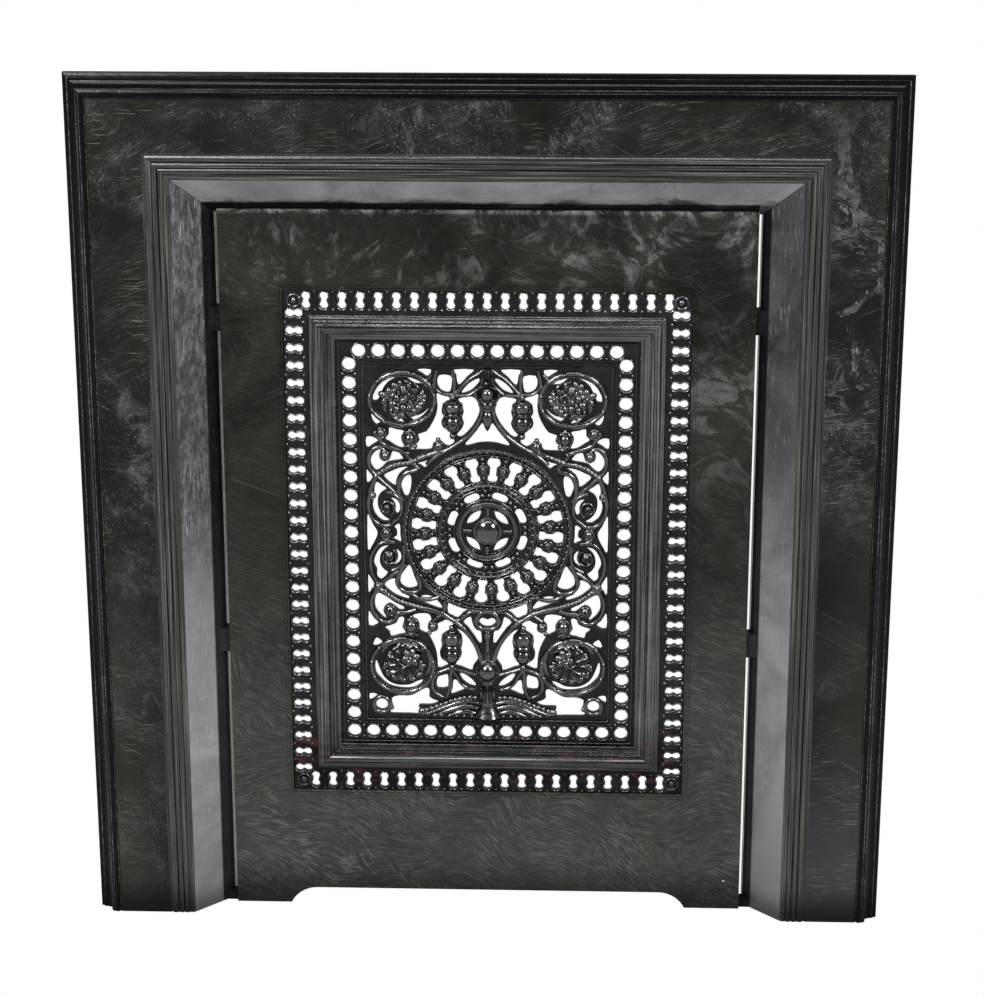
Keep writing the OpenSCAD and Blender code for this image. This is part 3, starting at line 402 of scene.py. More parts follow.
def cover_look():
    """Cover plate brushed in wavy swirls, clouded at its upper right."""
    t = Tree("cover_iron_look")
    vec, x, _, z = object_space(t)
    bent = t.warp(vec, 7.0, 0.10)
    patch = t.noise(vec, 12.0, 4, 0.6, 0.8)
    patch2 = t.noise(vec, 10.0, 4, 0.6, 0.8, shift=(3, 7, 1))
    low = t.ramp(z, 0.42, 0.16)

    # brush strokes along three slants, each in its own patches
    level = t.noise(bent, 1.0, 5, 0.68, 0.15, stretch=(46, 60, 860))
    rising = t.noise(bent, 1.0, 5, 0.68, 0.15, stretch=(800, 60, 70), turn=0.75, shift=(1, 5, 2))
    falling = t.noise(bent, 1.0, 5, 0.68, 0.15, stretch=(60, 60, 800), turn=-0.45, shift=(7, 2, 2))
    brush = t.mix(t.ramp(patch, 0.44, 0.56), level, rising)
    brush = t.mix(t.ramp(patch2, 0.46, 0.56), brush, falling)
    swirl = t.mul(t.ramp(brush, 0.46, 0.64), t.ramp(patch, 0.25, 0.58), t.mix(low, 0.38, 1.0))
    # clouds of painted reflection mixed with scuffs at the right and along the top, then specks and
    # scratches
    scuff = t.noise(bent, 34.0, 7, 0.72, 1.2, shift=(2, 2, 8))
    right = t.mul(t.ramp(x, 0.02, 0.22), t.ramp(z, 0.36, 0.60))
    upper = t.mul(t.ramp(z, 0.60, 0.69), t.ramp(scuff, 0.50, 0.68))
    cloud = t.mul(t.add(t.mul(right, 0.9), t.mul(upper, 0.9)), t.ramp(scuff, 0.46, 0.62),
                  t.ramp(patch2, 0.36, 0.58))
    # painted highlight along the upper arris, broken up by the scuff noise
    top_arris_highlight = t.mul(t.ramp(z, 0.722, 0.7265), t.ramp(scuff, 0.42, 0.60))
    speck = t.mul(specks(t, vec, 480.0, 0.62, 0.76), t.ramp(patch2, 0.42, 0.70), 0.5)
    cuts = t.most(scratches(t, vec, 0.45, (3, 1, 5)), scratches(t, vec, -0.35, (6, 3, 1)))

    col = t.colour(t.ramp(patch2, 0.35, 0.65), (0.0020, 0.0022, 0.0010), (0.0052, 0.0054, 0.0030))
    swirl_col = t.colour(low, (0.034, 0.034, 0.028), (0.050, 0.050, 0.044))
    for fac, tint in ((t.mul(low, 0.6), (0.0130, 0.0128, 0.0100)),
                      (t.mul(swirl, t.mix(low, 0.55, 0.80)), swirl_col),
                      (t.mul(cloud, 0.8), (0.052, 0.053, 0.049)),
                      (speck, (0.065, 0.065, 0.06)),
                      (t.mul(level_scratches(t, vec, 0.62, 0.56), 0.4), (0.105, 0.088, 0.060)),
                      (t.mul(cuts, 0.5), (0.085, 0.083, 0.072)),
                      (t.mul(top_arris_highlight, 0.8), (0.09, 0.09, 0.085))):
        col = t.colour(fac, col, tint)
    # painted shade at the foot, in the colour and the specular
    foot = shade_fade_at_foot(t, z, 0.25, 0.060)
    col = t.colour(foot, (0.002, 0.002, 0.0018), col)
    rough = t.add(t.ramp(swirl, 0.0, 0.7, 0.33, 0.45), t.ramp(patch, 0.3, 0.7, -0.03, 0.05))
    spec = t.mul(t.add(t.ramp(patch2, 0.3, 0.7, 0.12, 0.22), t.mul(low, 0.14)), foot)
    return casting(t, vec, col, rough, spec, brush, usual=0.18)


def grille_look(name, dark, rub, rough, rust, dull):
    """Glossy black casting with soft edges. Two parts of it can be left out: rust is the strength
    of the rusty foot, and dull that of the duller flat faces and the streaked moulding."""
    t = Tree(name)
    vec, x, y, z = object_space(t)
    soft = t.noise(vec, 40.0, 5, 0.65, 0.5)
    fine = t.noise(vec, 260.0, 4, 0.6)
    low = t.mul(t.ramp(z, 0.215, 0.165), rust)
    stain = t.noise(vec, 70.0, 6, 0.7, 0.8, stretch=(0.3, 1, 1.6), shift=(4, 1, 1))
    col = t.colour(t.ramp(soft, 0.45, 0.70), dark, rub)
    col = t.colour(t.mul(t.ramp(stain, 0.52, 0.66), low), col, (0.034, 0.014, 0.009))
    r = t.add(t.ramp(soft, 0.3, 0.7, rough, rough + 0.10), t.ramp(fine, 0.3, 0.7, -0.03, 0.05))
    rounded = t.node("ShaderNodeBevel", samples=4)
    rounded.inputs["Radius"].default_value = 0.0012
    nrm = t.bump(t.noise(vec, 120.0, 3, 0.6), 0.30, 0.0010, rounded.outputs[0])
    nrm = t.bump(fine, 0.20, 0.0003, nrm)
    # the flat faces between the relief are duller than the raised work
    flat = t.mul(t.most(*[t.near(y, face, 0.0003, 0.0006) for face in (FRONT, BORDER)]), dull)
    raised = t.mul(t.inverse(t.mul(flat, 0.80)), t.mix(low, 1.0, 0.20))
    # streaks along the picture-frame moulding
    mould = t.mul(t.ramp(y, BORDER - 0.0012, BORDER - 0.0022), dull)
    upright = t.ramp(t.sub(t.size(x), t.sub(t.size(t.sub(z, GZ)), TALLER)), -MITRE, MITRE)
    streak = t.mix(upright, t.noise(vec, 1.0, 4, 0.65, stretch=(6, 900, 1000)),
                   t.noise(vec, 1.0, 4, 0.65, stretch=(1000, 900, 6)))
    raised = t.mul(raised, t.mix(mould, 1.0, t.ramp(streak, 0.40, 0.62, 0.22, 2.1)))
    return t.shade(col, r, nrm, specular=t.mul(raised, t.ramp(soft, 0.3, 0.7, 0.65, 0.95)),
                   coat=t.mul(raised, 0.6), coat_rough=0.05, usual=0.7)


def steel_look():
    """Dull dark steel of the bolts, screws and nut."""
    t = Tree("fixing_steel_look")
    vec = object_space(t)[0]
    fine = t.noise(vec, 1.0, 3, 0.6, stretch=(900, 200, 120))
    soft = t.noise(vec, 90.0, 4, 0.6)
    col = t.colour(t.ramp(soft, 0.4, 0.7), (0.10, 0.095, 0.09), (0.22, 0.20, 0.18))
    return t.shade(col, t.ramp(fine, 0.3, 0.7, 0.34, 0.50), t.bump(fine, 0.2, 0.0003), metallic=0.9)


MATS = {
    "frame_iron": frame_look(),
    "splay_iron": splay_look(),
    "cover_iron": cover_look(),
    "grille_iron": grille_look("grille_iron_look", (0.0012, 0.0012, 0.0012), (0.005, 0.005, 0.0046),
                               rough=0.15, rust=0.7, dull=1.0),
    "boss_iron": grille_look("boss_iron_look", (0.0015, 0.0015, 0.0015), (0.004, 0.004, 0.004),
                             rough=0.07, rust=0.0, dull=0.0),
    "fixing_steel": steel_look(),
}
SLOTS = {s["node"]: s["material_slot"] for s in frame["record"]["subparts"]}
for node, ob in frame["nodes"].items():
    mat = MATS[SLOTS[node]]
    for held in ob.material_slots:
        held.material = mat
    if not ob.material_slots:
        ob.data.materials.append(mat)
    if node in ("face_frame", "header_splay", "left_splay", "right_splay", "cover_plate"):
        b = ob.modifiers.new("soft_edges", "BEVEL")
        b.width = 0.0009
        b.segments = 2
        b.limit_method = "ANGLE"
        b.angle_limit = math.radians(35)


# ---------------------------------------------------------------- mesh helpers
class Mesh:
    """Collects vertices and faces of one piece."""

    def __init__(self):
        self.v = []
        self.f = []

    def add(self, verts, faces):
        n = len(self.v)
        self.v += [tuple(p) for p in verts]
        self.f += [tuple(n + i for i in f) for f in faces]

    def both(self, verts, faces):
        """Adds the form and its mirror image in X."""
        self.add(verts, faces)
        self.add([(-p[0], p[1], p[2]) for p in verts], [tuple(reversed(f)) for f in faces])

    def make(self, name, mat, body):
        me = bpy.data.meshes.new(name)
        me.from_pydata(self.v, [], self.f)
        me.validate()
        me.materials.append(mat)
        for p in me.polygons:
            p.use_smooth = True
        ob = bpy.data.objects.new(name, me)
        bpy.context.scene.collection.objects.link(ob)
        me.set_sharp_from_angle(angle=math.radians(50))
        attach(ob, body)


def smooth(p, n):
    """Points of a smooth curve through p, n of them to a span."""
    out = []
    for i in range(len(p) - 1):
        a, b = p[max(i - 1, 0)], p[i]
        c, d = p[i + 1], p[min(i + 2, len(p) - 1)]
        for k in range(n):
            f = k / n
            out.append(tuple(0.5 * (2 * b[j] + (c[j] - a[j]) * f
                                    + (2 * a[j] - 5 * b[j] + 4 * c[j] - d[j]) * f * f
                                    + (3 * b[j] - 3 * c[j] + d[j] - a[j]) * f ** 3)
                             for j in (0, 1)))
    out.append(tuple(p[-1]))
    return out


def place(u, v, h):
    """Point at u, v in mm from the middle of the grille, h in mm in front of the tracery's face."""
    return (u / 1000, FRONT - h / 1000, GZ + v / 1000)


def around(u, v, a, ru, rv=None):
    """Point (u, v) at the angle a of a circle, or of an oval with the half axes ru and rv."""
    return u + ru * math.cos(a), v + (ru if rv is None else rv) * math.sin(a)


def strips(rows, m, closed=False):
    """Faces between rows of m + 1 vertices each."""
    return [(i * (m + 1) + k, i * (m + 1) + k + 1, (i + 1) % rows * (m + 1) + k + 1,
             (i + 1) % rows * (m + 1) + k)
            for i in range(rows if closed else rows - 1) for k in range(m)]


def tube(path, width, height, base=0.0, closed=False, sides=8, taper=None):
    """Half-round bar on the face: path in mm, width across, height above base."""
    n = len(path)
    verts = []
    for i, (u, v) in enumerate(path):
        back = path[(i - 1) % n] if closed or i else path[i]
        ahead = path[(i + 1) % n] if closed or i < n - 1 else path[i]
        du, dv = ahead[0] - back[0], ahead[1] - back[1]
        length = math.hypot(du, dv) or 1e-6
        nu, nv = -dv / length, du / length
        s = 1.0 if taper is None else taper(i / (n - 1))
        for k in range(sides + 1):
            a = math.pi * k / sides
            across = math.cos(a) * width / 2 * s
            verts.append(place(u + nu * across, v + nv * across,
                               math.sin(a) * height * (0.4 + 0.6 * s) + base))
    return verts, strips(n, sides, closed)


def dome(u, v, r, height, base=0.0, rings=5, seg=14, ru=None, turn=0.0):
    """Round boss on the face, or an oval one whose half axes r and ru are turned."""
    ru = r if ru is None else ru
    verts, faces = [], []
    ca, sa = math.cos(turn), math.sin(turn)
    for i in range(rings):
        a = math.pi / 2 * i / rings
        for k in range(seg):
            b = 2 * math.pi * k / seg
            x, y = ru * math.cos(a) * math.cos(b), r * math.cos(a) * math.sin(b)
            verts.append(place(u + ca * x - sa * y, v + sa * x + ca * y,
                               base + height * math.sin(a)))
    verts.append(place(u, v, base + height))
    for i in range(rings - 1):
        for k in range(seg):
            j = (k + 1) % seg
            faces.append((i * seg + k, i * seg + j, (i + 1) * seg + j, (i + 1) * seg + k))
    top = rings * seg
    for k in range(seg):
        faces.append(((rings - 1) * seg + k, (rings - 1) * seg + (k + 1) % seg, top))
    return verts, faces


def arc(u, v, r, n, a0=0.0, a1=360.0):
    """Points of a circle in n steps, or of its part between two angles in degrees."""
    points = n if abs(a1 - a0) >= 359.9 else n + 1
    return [around(u, v, math.radians(a0 + (a1 - a0) * i / n), r) for i in range(points)]


def lathe(u, v0, v1, profile, depth):
    """Half of a turned form lying in the grille plane, its axis along v: the profile holds
    fractions of the way from v0 to v1 and radii, and depth flattens it."""
    seg, sunk = 8, -1.0
    verts = []
    for f, r in profile:
        for k in range(seg + 1):
            a = math.pi * k / seg
            verts.append(place(u + r * math.cos(a), v0 + (v1 - v0) * f,
                               sunk + depth * r * math.sin(a)))
    return verts, strips(len(profile), seg)


# ---------------------------------------------------------------- relief of the scrollwork
RIDGES = [  # width in mm and centre line (u, v) of the ridges on the scrollwork, left half
    (5.0, [(-112, 118), (-107, 112), (-103, 105.5), (-95, 101.5), (-86, 98.5), (-78, 95.5)]),
    (4.2, [(-101.5, 98.5), (-106, 101.8), (-112, 101), (-116.8, 95.5), (-117.6, 87), (-115.2, 79),
          (-110.3, 73.5), (-106, 69.3), (-100.5, 64), (-95.5, 59.5), (-91.5, 55)]),
    (5.6, [(-118.5, 44), (-116.6, 55), (-114.8, 63), (-111.5, 70), (-105.5, 76.6), (-97, 82),
          (-87, 85.4), (-76, 86.6), (-66.5, 91.5), (-55, 95.5), (-44, 98.8)]),
    (5.0, [(-6.2, 149), (-5.6, 139), (-8.6, 130.5), (-14.2, 121.2), (-20.6, 113.2), (-27, 108.2),
          (-34.5, 103), (-44, 97.5), (-53, 91.5), (-60, 84.5)]),
    (5.0, [(-80.5, 98), (-78.5, 93), (-73.5, 86.5), (-68.5, 80.5)]),
    (5.2, [(-69, 79.5), (-74.5, 77.6), (-81, 75.7), (-86.6, 70.5), (-88, 63), (-87.6, 55),
          (-84, 47.5)]),
    (4.4, [(-100, 55.8), (-93.5, 54), (-88, 49.2), (-85, 42.4), (-85.6, 34.5), (-89.5, 28.5),
          (-94.6, 24.5)]),
    (4.6, [(-118.5, 44), (-117.4, 36), (-113.4, 27.6), (-106.5, 21.8), (-98, 21.5), (-92.4, 26.5)]),
    (4.6, [(-99.5, 22), (-103.8, 18), (-104.6, 12.5), (-102.4, 7), (-97.5, 4.4)]),
    (4.4, [(-92.6, 3.2), (-100, 4.2), (-107.5, 2.2), (-113.4, -4.2), (-116.8, -13), (-116.8, -22),
          (-114.6, -30), (-109.4, -39.6)]),
    (4.2, [(-84.2, 1.2), (-83.2, -8), (-84.4, -16.5), (-89.5, -22.4), (-95.6, -25.8)]),
    (4.6, [(-82.2, -18.2), (-86.6, -24.6), (-89.6, -32), (-90.6, -38.6), (-87.2, -44.8),
          (-80, -48.6), (-72.5, -48.2), (-67.4, -43.6), (-67.8, -37), (-70.6, -30)]),
    (4.4, [(-89, -26.5), (-97, -31.6), (-104, -38), (-109, -44.6), (-114.6, -51), (-116.8, -60),
          (-115.2, -68.4), (-110.8, -75), (-105.6, -79.8), (-99.6, -80.6), (-94.6, -78)]),
    (5.6, [(-113, -45.6), (-105, -46.6), (-98.6, -51.6), (-90.6, -56.8), (-82.4, -59.8),
          (-73, -62.8), (-62, -65.8), (-52.4, -68.6), (-44, -71.6), (-36, -77), (-28, -82.6),
          (-21.2, -89.6), (-15.2, -97.8), (-10.8, -106), (-7.6, -115), (-5.4, -124)]),
    (4.6, [(-76, -50), (-70.2, -54), (-62, -56.2), (-54.6, -55.2), (-48.4, -53)]),
    (4.2, [(-43.2, -57.4), (-43, -64), (-44.8, -70.6), (-50, -74.6), (-55, -78.4)]),
    (4.2, [(-36.4, -78.2), (-29.4, -77.8), (-23.4, -72.8), (-17, -68.8), (-9.6, -68.4)]),
    (4.8, [(-99.4, -80.8), (-93.2, -76.4), (-90, -70.6), (-84.6, -70.4), (-79.4, -69.4),
          (-72, -67)]),
    (3.8, [(-33.4, 156.4), (-40, 156), (-46.6, 158.2), (-51, 163.4), (-52.2, 170.4), (-50.8, 177),
          (-49.6, 181.6)]),
    (3.8, [(-33.2, 156.6), (-32.2, 163.4), (-32.6, 171), (-34.4, 181.4)]),
    (3.8, [(-33.4, 155.4), (-28.6, 160), (-23, 166.6), (-16.6, 172.4), (-9.6, 177), (-4, 181.4)]),
    (3.8, [(-33.4, 155), (-25.6, 155), (-18.6, 155.8), (-12, 159.8), (-6.4, 166), (-4.6, 173)]),
    (3.8, [(-12, 159), (-10.5, 153.5), (-6.6, 147)]),
    (3.6, [(-54.6, 176.6), (-59, 171.6), (-62.6, 168)]),
    (4.0, [(-36.4, -128.6), (-44.6, -131.8), (-51.2, -135.2), (-55, -141.6), (-55.6, -149),
          (-52.6, -155.6), (-45.4, -160.4)]),
    (4.0, [(-36.8, -129), (-37.2, -138.6), (-37.6, -147), (-39.6, -156), (-43.4, -161)]),
    (4.0, [(-36.6, -129), (-30.8, -137.8), (-27.4, -144.6), (-21.4, -149.6), (-13.6, -152)]),
    (4.0, [(-36.2, -128.2), (-27.4, -131.4), (-19.6, -133.8), (-12.2, -136)]),
]
BEADED = [  # radius of the beads and their line
    (2.5, [(-110.5, 72), (-104, 77.5), (-95, 82.6), (-85, 85.6), (-75, 87.4), (-66, 91.6),
          (-57, 95)]),
    (3.0, [(-62, -174.2), (-54, -171.2), (-46, -168.2), (-37.6, -164.6), (-28, -161.8),
          (-20, -160.4), (-11.5, -160.6)]),
    (2.3, [(-105, -46.6), (-98.6, -51.6), (-90.6, -56.8), (-82.4, -59.8), (-73, -62.8),
          (-62, -65.8)]),
]
OPEN_U, OPEN_V = 119.5, 181.5  # half size in mm of the opening that the scrollwork fills


def inside_opening(p):
    """The point, or the nearest one inside the opening."""
    return (max(-OPEN_U, min(OPEN_U, p[0])), max(-OPEN_V, min(OPEN_V, p[1])))


def oval(u, v, ru, rv, n):
    """Points of an oval in n steps, kept inside the opening."""
    return [inside_opening(around(u, v, math.radians(360 * i / n), ru, rv)) for i in range(n)]


def beads(mesh, pts, r):
    """A row of beads along a line, at least 1.6 radii apart."""
    last = None
    for p in smooth(pts, 12):
        if last is None or math.hypot(p[0] - last[0], p[1] - last[1]) >= r * 1.6:
            mesh.both(*dome(p[0], p[1], r, r * 0.9, base=1.6, rings=3, seg=8))
            last = p


def rosette(mesh, u, v, r, base, petals, turn):
    """A small flower: round petals about a raised middle."""
    for k in range(petals):
        a = turn + 2 * math.pi * k / petals
        mesh.both(*dome(*around(u, v, a, 0.56 * r), 0.36 * r, 0.34 * r, base=base, rings=4, seg=10,
                        ru=0.46 * r, turn=a))
    mesh.both(*dome(u, v, 0.27 * r, 0.42 * r, base=base + 0.14 * r, rings=4, seg=10))


def swell(f):
    """Part of a leaf's width at the fraction f of its length: soon full, then down to a point."""
    return max(0.08, math.sin(math.pi * min(1.0, 0.12 + 0.88 * f)) ** 0.7)


def leaf(mesh, pts, width, height, base):
    mesh.both(*tube(smooth(pts, 5), width, height, base=base, taper=swell))


relief = Mesh()
for w, pts in RIDGES:
    path = [inside_opening(p) for p in smooth(pts, 5)]
    relief.both(*tube(path, w, 1.7 + w * 0.28, base=-0.2))
for r, pts in BEADED:
    beads(relief, pts, r)

# rings of the roundels with a thread inside and small buds on the outside
for u, v, ru, rv in ((-84, 151.2, 32.2, 26.8), (-86, -127, 31.5, 28.8)):
    relief.both(*tube(oval(u, v, ru, rv, 44), 5.2, 3.4, closed=True))
    relief.both(*tube(oval(u, v, ru - 3.2, rv - 3.2, 44), 1.5, 2.8, base=0.2, closed=True, sides=6))
    for k in range(1, 22, 2):
        p = inside_opening(around(u, v, math.radians(25 + 360 * k / 22), ru, rv))
        if p[0] > 1 - OPEN_U:
            relief.both(*dome(p[0], p[1], 1.9, 2.2, base=2.4, rings=3, seg=8))
relief.both(*tube(arc(-107.5, -169.2, 8.3, 24), 4.6, 2.8, closed=True))
relief.both(*dome(-97.5, -172.5, 2.6, 2.4, base=0.2))
relief.both(*dome(-114.5, -176, 2.2, 2.2, base=0.2))

# spirals: middle, radius and sense
for u, v, r, s in ((-100, 40, 8.2, 1), (-98.5, -11, 8.8, -1)):
    turns = [around(u, v, math.radians(s * (-60 + 17 * i)), r * (1 - 0.5 * i / 22))
             for i in range(23)]
    relief.both(*tube(turns, 2.8, 3.2, base=0.2))
    relief.both(*dome(u, v, 4.2, 4.8, base=1.2))

# flower heads heaped on the upper roundels, with leaves about them
for u, v, r, lift, turn in ((-97.8, 153.5, 10.2, 1.0, 0.2), (-87.6, 162.6, 8.6, 1.4, 0.0),
                            (-87.2, 147.2, 10.6, 3.4, 0.6), (-76.4, 157.4, 10.4, 2.8, 0.4),
                            (-72.6, 144.4, 9.4, 1.2, 1.0), (-65.4, 152.6, 6.6, 0.4, 0.3),
                            (-86.8, 136.4, 6.4, 0.2, 0.8)):
    rosette(relief, u, v, r, lift, 5, turn)
for k in range(9):
    a = math.radians(200 + 28 * k)
    leaf(relief, [around(-83, 151, a, 16, 13), around(-83, 151, a + 0.12, 20.5, 17),
                  around(-83, 151, a + 0.42, 22.5, 19)], 4.6, 2.4, 0.0)

# swirling leaves of the lower roundels
rosette(relief, -77.5, -117.0, 10.5, 4.2, 6, 0.2)
rosette(relief, -94.0, -113.5, 7.4, 1.6, 5, 0.5)
rosette(relief, -68.0, -126.5, 6.4, 1.6, 5, 0.1)
for k in range(9):
    a = math.radians(14 - 34 * k)
    reach = 13.5 + 0.8 * k
    leaf(relief, [around(-80, -119, a, 8.5, 8.0),
                  around(-81, -120.5, a - 0.35, 0.62 * reach, 0.6 * reach),
                  around(-82.5, -122.5, a - 0.7, reach, 0.9 * reach),
                  around(-84, -124, a - 1.1, 1.16 * reach, 1.05 * reach)], 9.4, 5.0, 1.2)
for k in range(6):
    a = math.radians(186 + 27 * k)
    relief.both(*dome(*around(-84.5, -126, a, 19.6, 16.4), 3.0, 2.8, base=0.4, rings=4, seg=10,
                      ru=4.6, turn=a + 1.2))
leaf(relief, [(-106, -112), (-101, -104), (-92, -100), (-82, -100.6), (-73, -104), (-66, -110)],
     7.0, 3.8, 0.0)
leaf(relief, [(-60.5, -110), (-57.8, -119), (-58.8, -129), (-63, -138)], 5.6, 3.2, 0.0)

# vases: an upper and a lower bulb with bands between
for u, top, mid, low, wide in ((-34.2, 151, 134, 117.5, 10.6), (-36, -88, -109, -124, 10.8)):
    lower_bulb = [(0, 0.4), (0.05, 3.0), (0.14, 4.4), (0.22, 3.6), (0.36, 7.8), (0.6, wide - 0.6),
                  (0.82, wide - 1.2), (1, wide - 3.4)]
    upper_bulb = [(0, wide - 3.2), (0.06, wide - 1.0), (0.16, wide - 1.0), (0.22, wide - 2.6),
                  (0.36, wide - 0.8), (0.6, wide), (0.78, wide - 1.2), (0.84, wide - 3.4),
                  (0.9, 4.4), (0.96, 3.4), (1, 0.4)]
    relief.both(*lathe(u, low, mid, lower_bulb, 0.85))
    relief.both(*lathe(u, mid, top, upper_bulb, 0.85))
    for v in (low + 9, mid + 1.6, top - 3.4):
        relief.both(*tube([(u - wide + 3.2, v), (u + wide - 3.2, v)], 1.5, wide * 0.86, sides=6))
    relief.both(*dome(u, top + 2.2, 3.0, 3.4, base=0.6))
    relief.both(*dome(u, low - 3.4, 3.4, 3.6, base=0.6))

# knops with a collar, and the plain balls and bands beside them
for u, v, r in ((-76.5, 111.5, 6.8), (-48.3, 103.7, 4.8), (-101.3, 93.3, 4.4), (-105, 117, 4.6),
                (-98, -67.5, 5.0), (-76.5, -84, 7.2), (-55, -85, 4.3), (-101, 13.5, 4.8),
                (-114.6, 52.5, 3.0), (-109.8, -42.6, 3.6)):
    relief.both(*tube(arc(u, v, r + 0.3, 20), 2.0, 2.4, base=0.4, closed=True))
    relief.both(*dome(u, v, r, r * 0.95, base=0.8, rings=6, seg=18))
for u, v in ((-76.5, 103), (-71.4, 103.4), (-76.6, 119.8), (-48.6, 110.4), (-76.6, -93.6),
             (-76.8, -74.6), (-58.6, -91.4)):
    relief.both(*dome(u, v, 2.6, 3.0, base=0.8, rings=4, seg=10))
for v in (103.6, 119.0):
    relief.both(*tube([(-80.8, v), (-72.2, v)], 2.2, 3.6, base=0.2, sides=6))
relief.both(*tube([(-82.4, -93), (-70.6, -93)], 2.6, 3.8, base=0.2, sides=6))

# middle column above the wheel
relief.add(*lathe(0, 121.5, 182, [(0, 0.3), (0.05, 2.6), (0.12, 5.0), (0.2, 6.4), (0.27, 4.2),
                                  (0.30, 5.6), (0.36, 8.6), (0.42, 9.4), (0.46, 7.4), (0.50, 8.6),
                                  (0.62, 9.4), (0.70, 7.6), (0.73, 5.4), (0.76, 6.6), (0.79, 5.2),
                                  (0.92, 5.4), (1, 7.4)], 0.85))
relief.add(*dome(0, 157.6, 7.6, 8.4, base=1.6, rings=7, seg=20))
relief.add(*tube(arc(0, 157.6, 8.4, 26), 1.8, 5.6, closed=True))
for u in (-3.0, 0, 3.0):
    relief.add(*tube([(u, 166.5), (u, 181)], 1.7, 6.2, sides=6))

# middle column below the wheel
relief.add(*tube(oval(0, -77.6, 11.6, 9.6, 30), 5.4, 3.6, closed=True))
relief.add(*lathe(0, -122, -88, [(0, 3.2), (0.12, 4.2), (0.18, 2.8), (0.45, 2.4), (0.72, 2.8),
                                 (0.78, 5.0), (0.86, 5.0), (0.9, 3.2), (1, 4.2)], 1.0))
relief.add(*dome(0, -131.7, 10.4, 9.6, base=0.4, rings=8, seg=26))
relief.add(*tube(arc(0, -131.7, 11.2, 30), 2.2, 3.0, base=0.2, closed=True))
relief.add(*lathe(0, -181.5, -143, [(0, 15), (0.1, 12.4), (0.24, 8.6), (0.36, 6.6), (0.5, 7.8),
                                    (0.62, 9.6), (0.74, 8.4), (0.86, 6.4), (1, 6.0)], 0.62))
for u in (-5.5, -2.0, 2.0, 5.5):
    relief.add(*tube([(u, -147), (u * 0.8, -157), (u * 1.3, -166)], 1.9, 5.0, base=0.6, sides=6))
# long leaves of the foot spreading to both sides under the beads
leaf(relief, [(-9, -166.5), (-20, -164.6), (-32, -167), (-44, -171.4), (-56, -176.4),
              (-66, -179.6)], 5.4, 3.4, 0.2)
leaf(relief, [(-10, -171.5), (-22, -170), (-34, -172.6), (-46, -177), (-55, -180.6)], 6.2, 3.8, 0.2)
leaf(relief, [(-12, -177.2), (-22, -175.6), (-32, -177.6), (-42, -181)], 6.2, 3.6, 0.2)
for k in range(6):
    relief.both(*dome(-16 - 7.6 * k, -180.6 + 0.12 * k, 2.2, 2.6, base=0.6, rings=3, seg=8))
relief.both(*dome(-66.5, -176.4, 4.2, 3.4, base=0.2, rings=4, seg=12))
relief.both(*dome(-60.5, -178.6, 2.8, 2.8, base=0.2, rings=4, seg=12))

# the wheel; its gaps, knobs, windows and bars are counted clockwise, the first one the named
# number of degrees past the top
WHEEL_V = 16.5
GAPS, KNOBS, WINDOWS, BARS = 5.3, 14.3, 42.5, 1.0
KNOB_RING = 62.4


def on_wheel(r, a):
    return around(0, WHEEL_V, a, r)


def clockwise(first, step, i):
    return math.radians(90 - first - step * i)


# rims as radius, width and height
for r, w, h in ((83.8, 2.2, 4.4), (78.4, 1.8, 2.8), (76.0, 1.3, 2.0), (51.0, 1.6, 2.2),
                (47.4, 2.6, 4.0), (43.4, 1.8, 2.4), (32.8, 1.8, 2.4), (29.6, 2.4, 4.2),
                (25.8, 1.8, 3.2), (23.8, 1.2, 2.0)):
    relief.add(*tube(arc(0, WHEEL_V, r, 96), w, h, closed=True))
for i in range(20):
    a = clockwise(GAPS, 18, i)
    deg = math.degrees(a)
    relief.add(*tube(arc(*on_wheel(70.6, a), 7.2, 12, deg - 105, deg + 105), 1.7, 3.0))
    relief.add(*tube(arc(*on_wheel(54.6, a), 5.8, 10, deg + 90, deg + 270), 1.5, 2.6))
    b = clockwise(KNOBS, 18, i)
    relief.add(*dome(*on_wheel(KNOB_RING, b), 5.6, 5.8, base=0.8, rings=6, seg=18))
    relief.add(*tube(arc(*on_wheel(KNOB_RING, b), 5.8, 18), 1.6, 2.4, base=0.4, closed=True))
    relief.add(*dome(*on_wheel(70.0, b), 2.3, 3.0, base=0.4, rings=4, seg=10, ru=1.8, turn=b))
    for r in (74.2, 55.0):
        relief.add(*dome(*on_wheel(r, b), 1.9, 2.6, base=0.4, rings=4, seg=10))
for i in range(72):
    a = 2 * math.pi * i / 72
    relief.add(*dome(*on_wheel(81.2, a), 1.7, 2.2, base=1.5, rings=3, seg=8))
for i in range(40):
    a = 2 * math.pi * (i + 0.5) / 40
    relief.add(*dome(*on_wheel(45.4, a), 1.5, 2.0, base=1.2, rings=3, seg=8))
for i in range(8):
    a = clockwise(WINDOWS, 45, i)
    for d in (-0.085, 0.085):
        relief.add(*dome(*on_wheel(37.6, a + d), 2.6, 3.4, base=0.6, rings=4, seg=10))
    relief.add(*dome(*on_wheel(41.4, a), 1.5, 2.2, base=0.4, rings=3, seg=8))
for i in range(4):
    a = clockwise(BARS, 90, i)
    relief.add(*tube([on_wheel(15.6, a), on_wheel(24, a)], 4.2, 3.2))

# thin ridges that frame the opening and the inner border
for hu, hv, w, h in ((122.4, 184.6, 2.2, 2.6), (126.0, 188.2, 1.5, 1.7), (145.6, 208.4, 2.2, 2.4)):
    relief.add(*tube([(-hu, -hv), (hu, -hv), (hu, hv), (-hu, hv)], w, h, closed=True, sides=6))

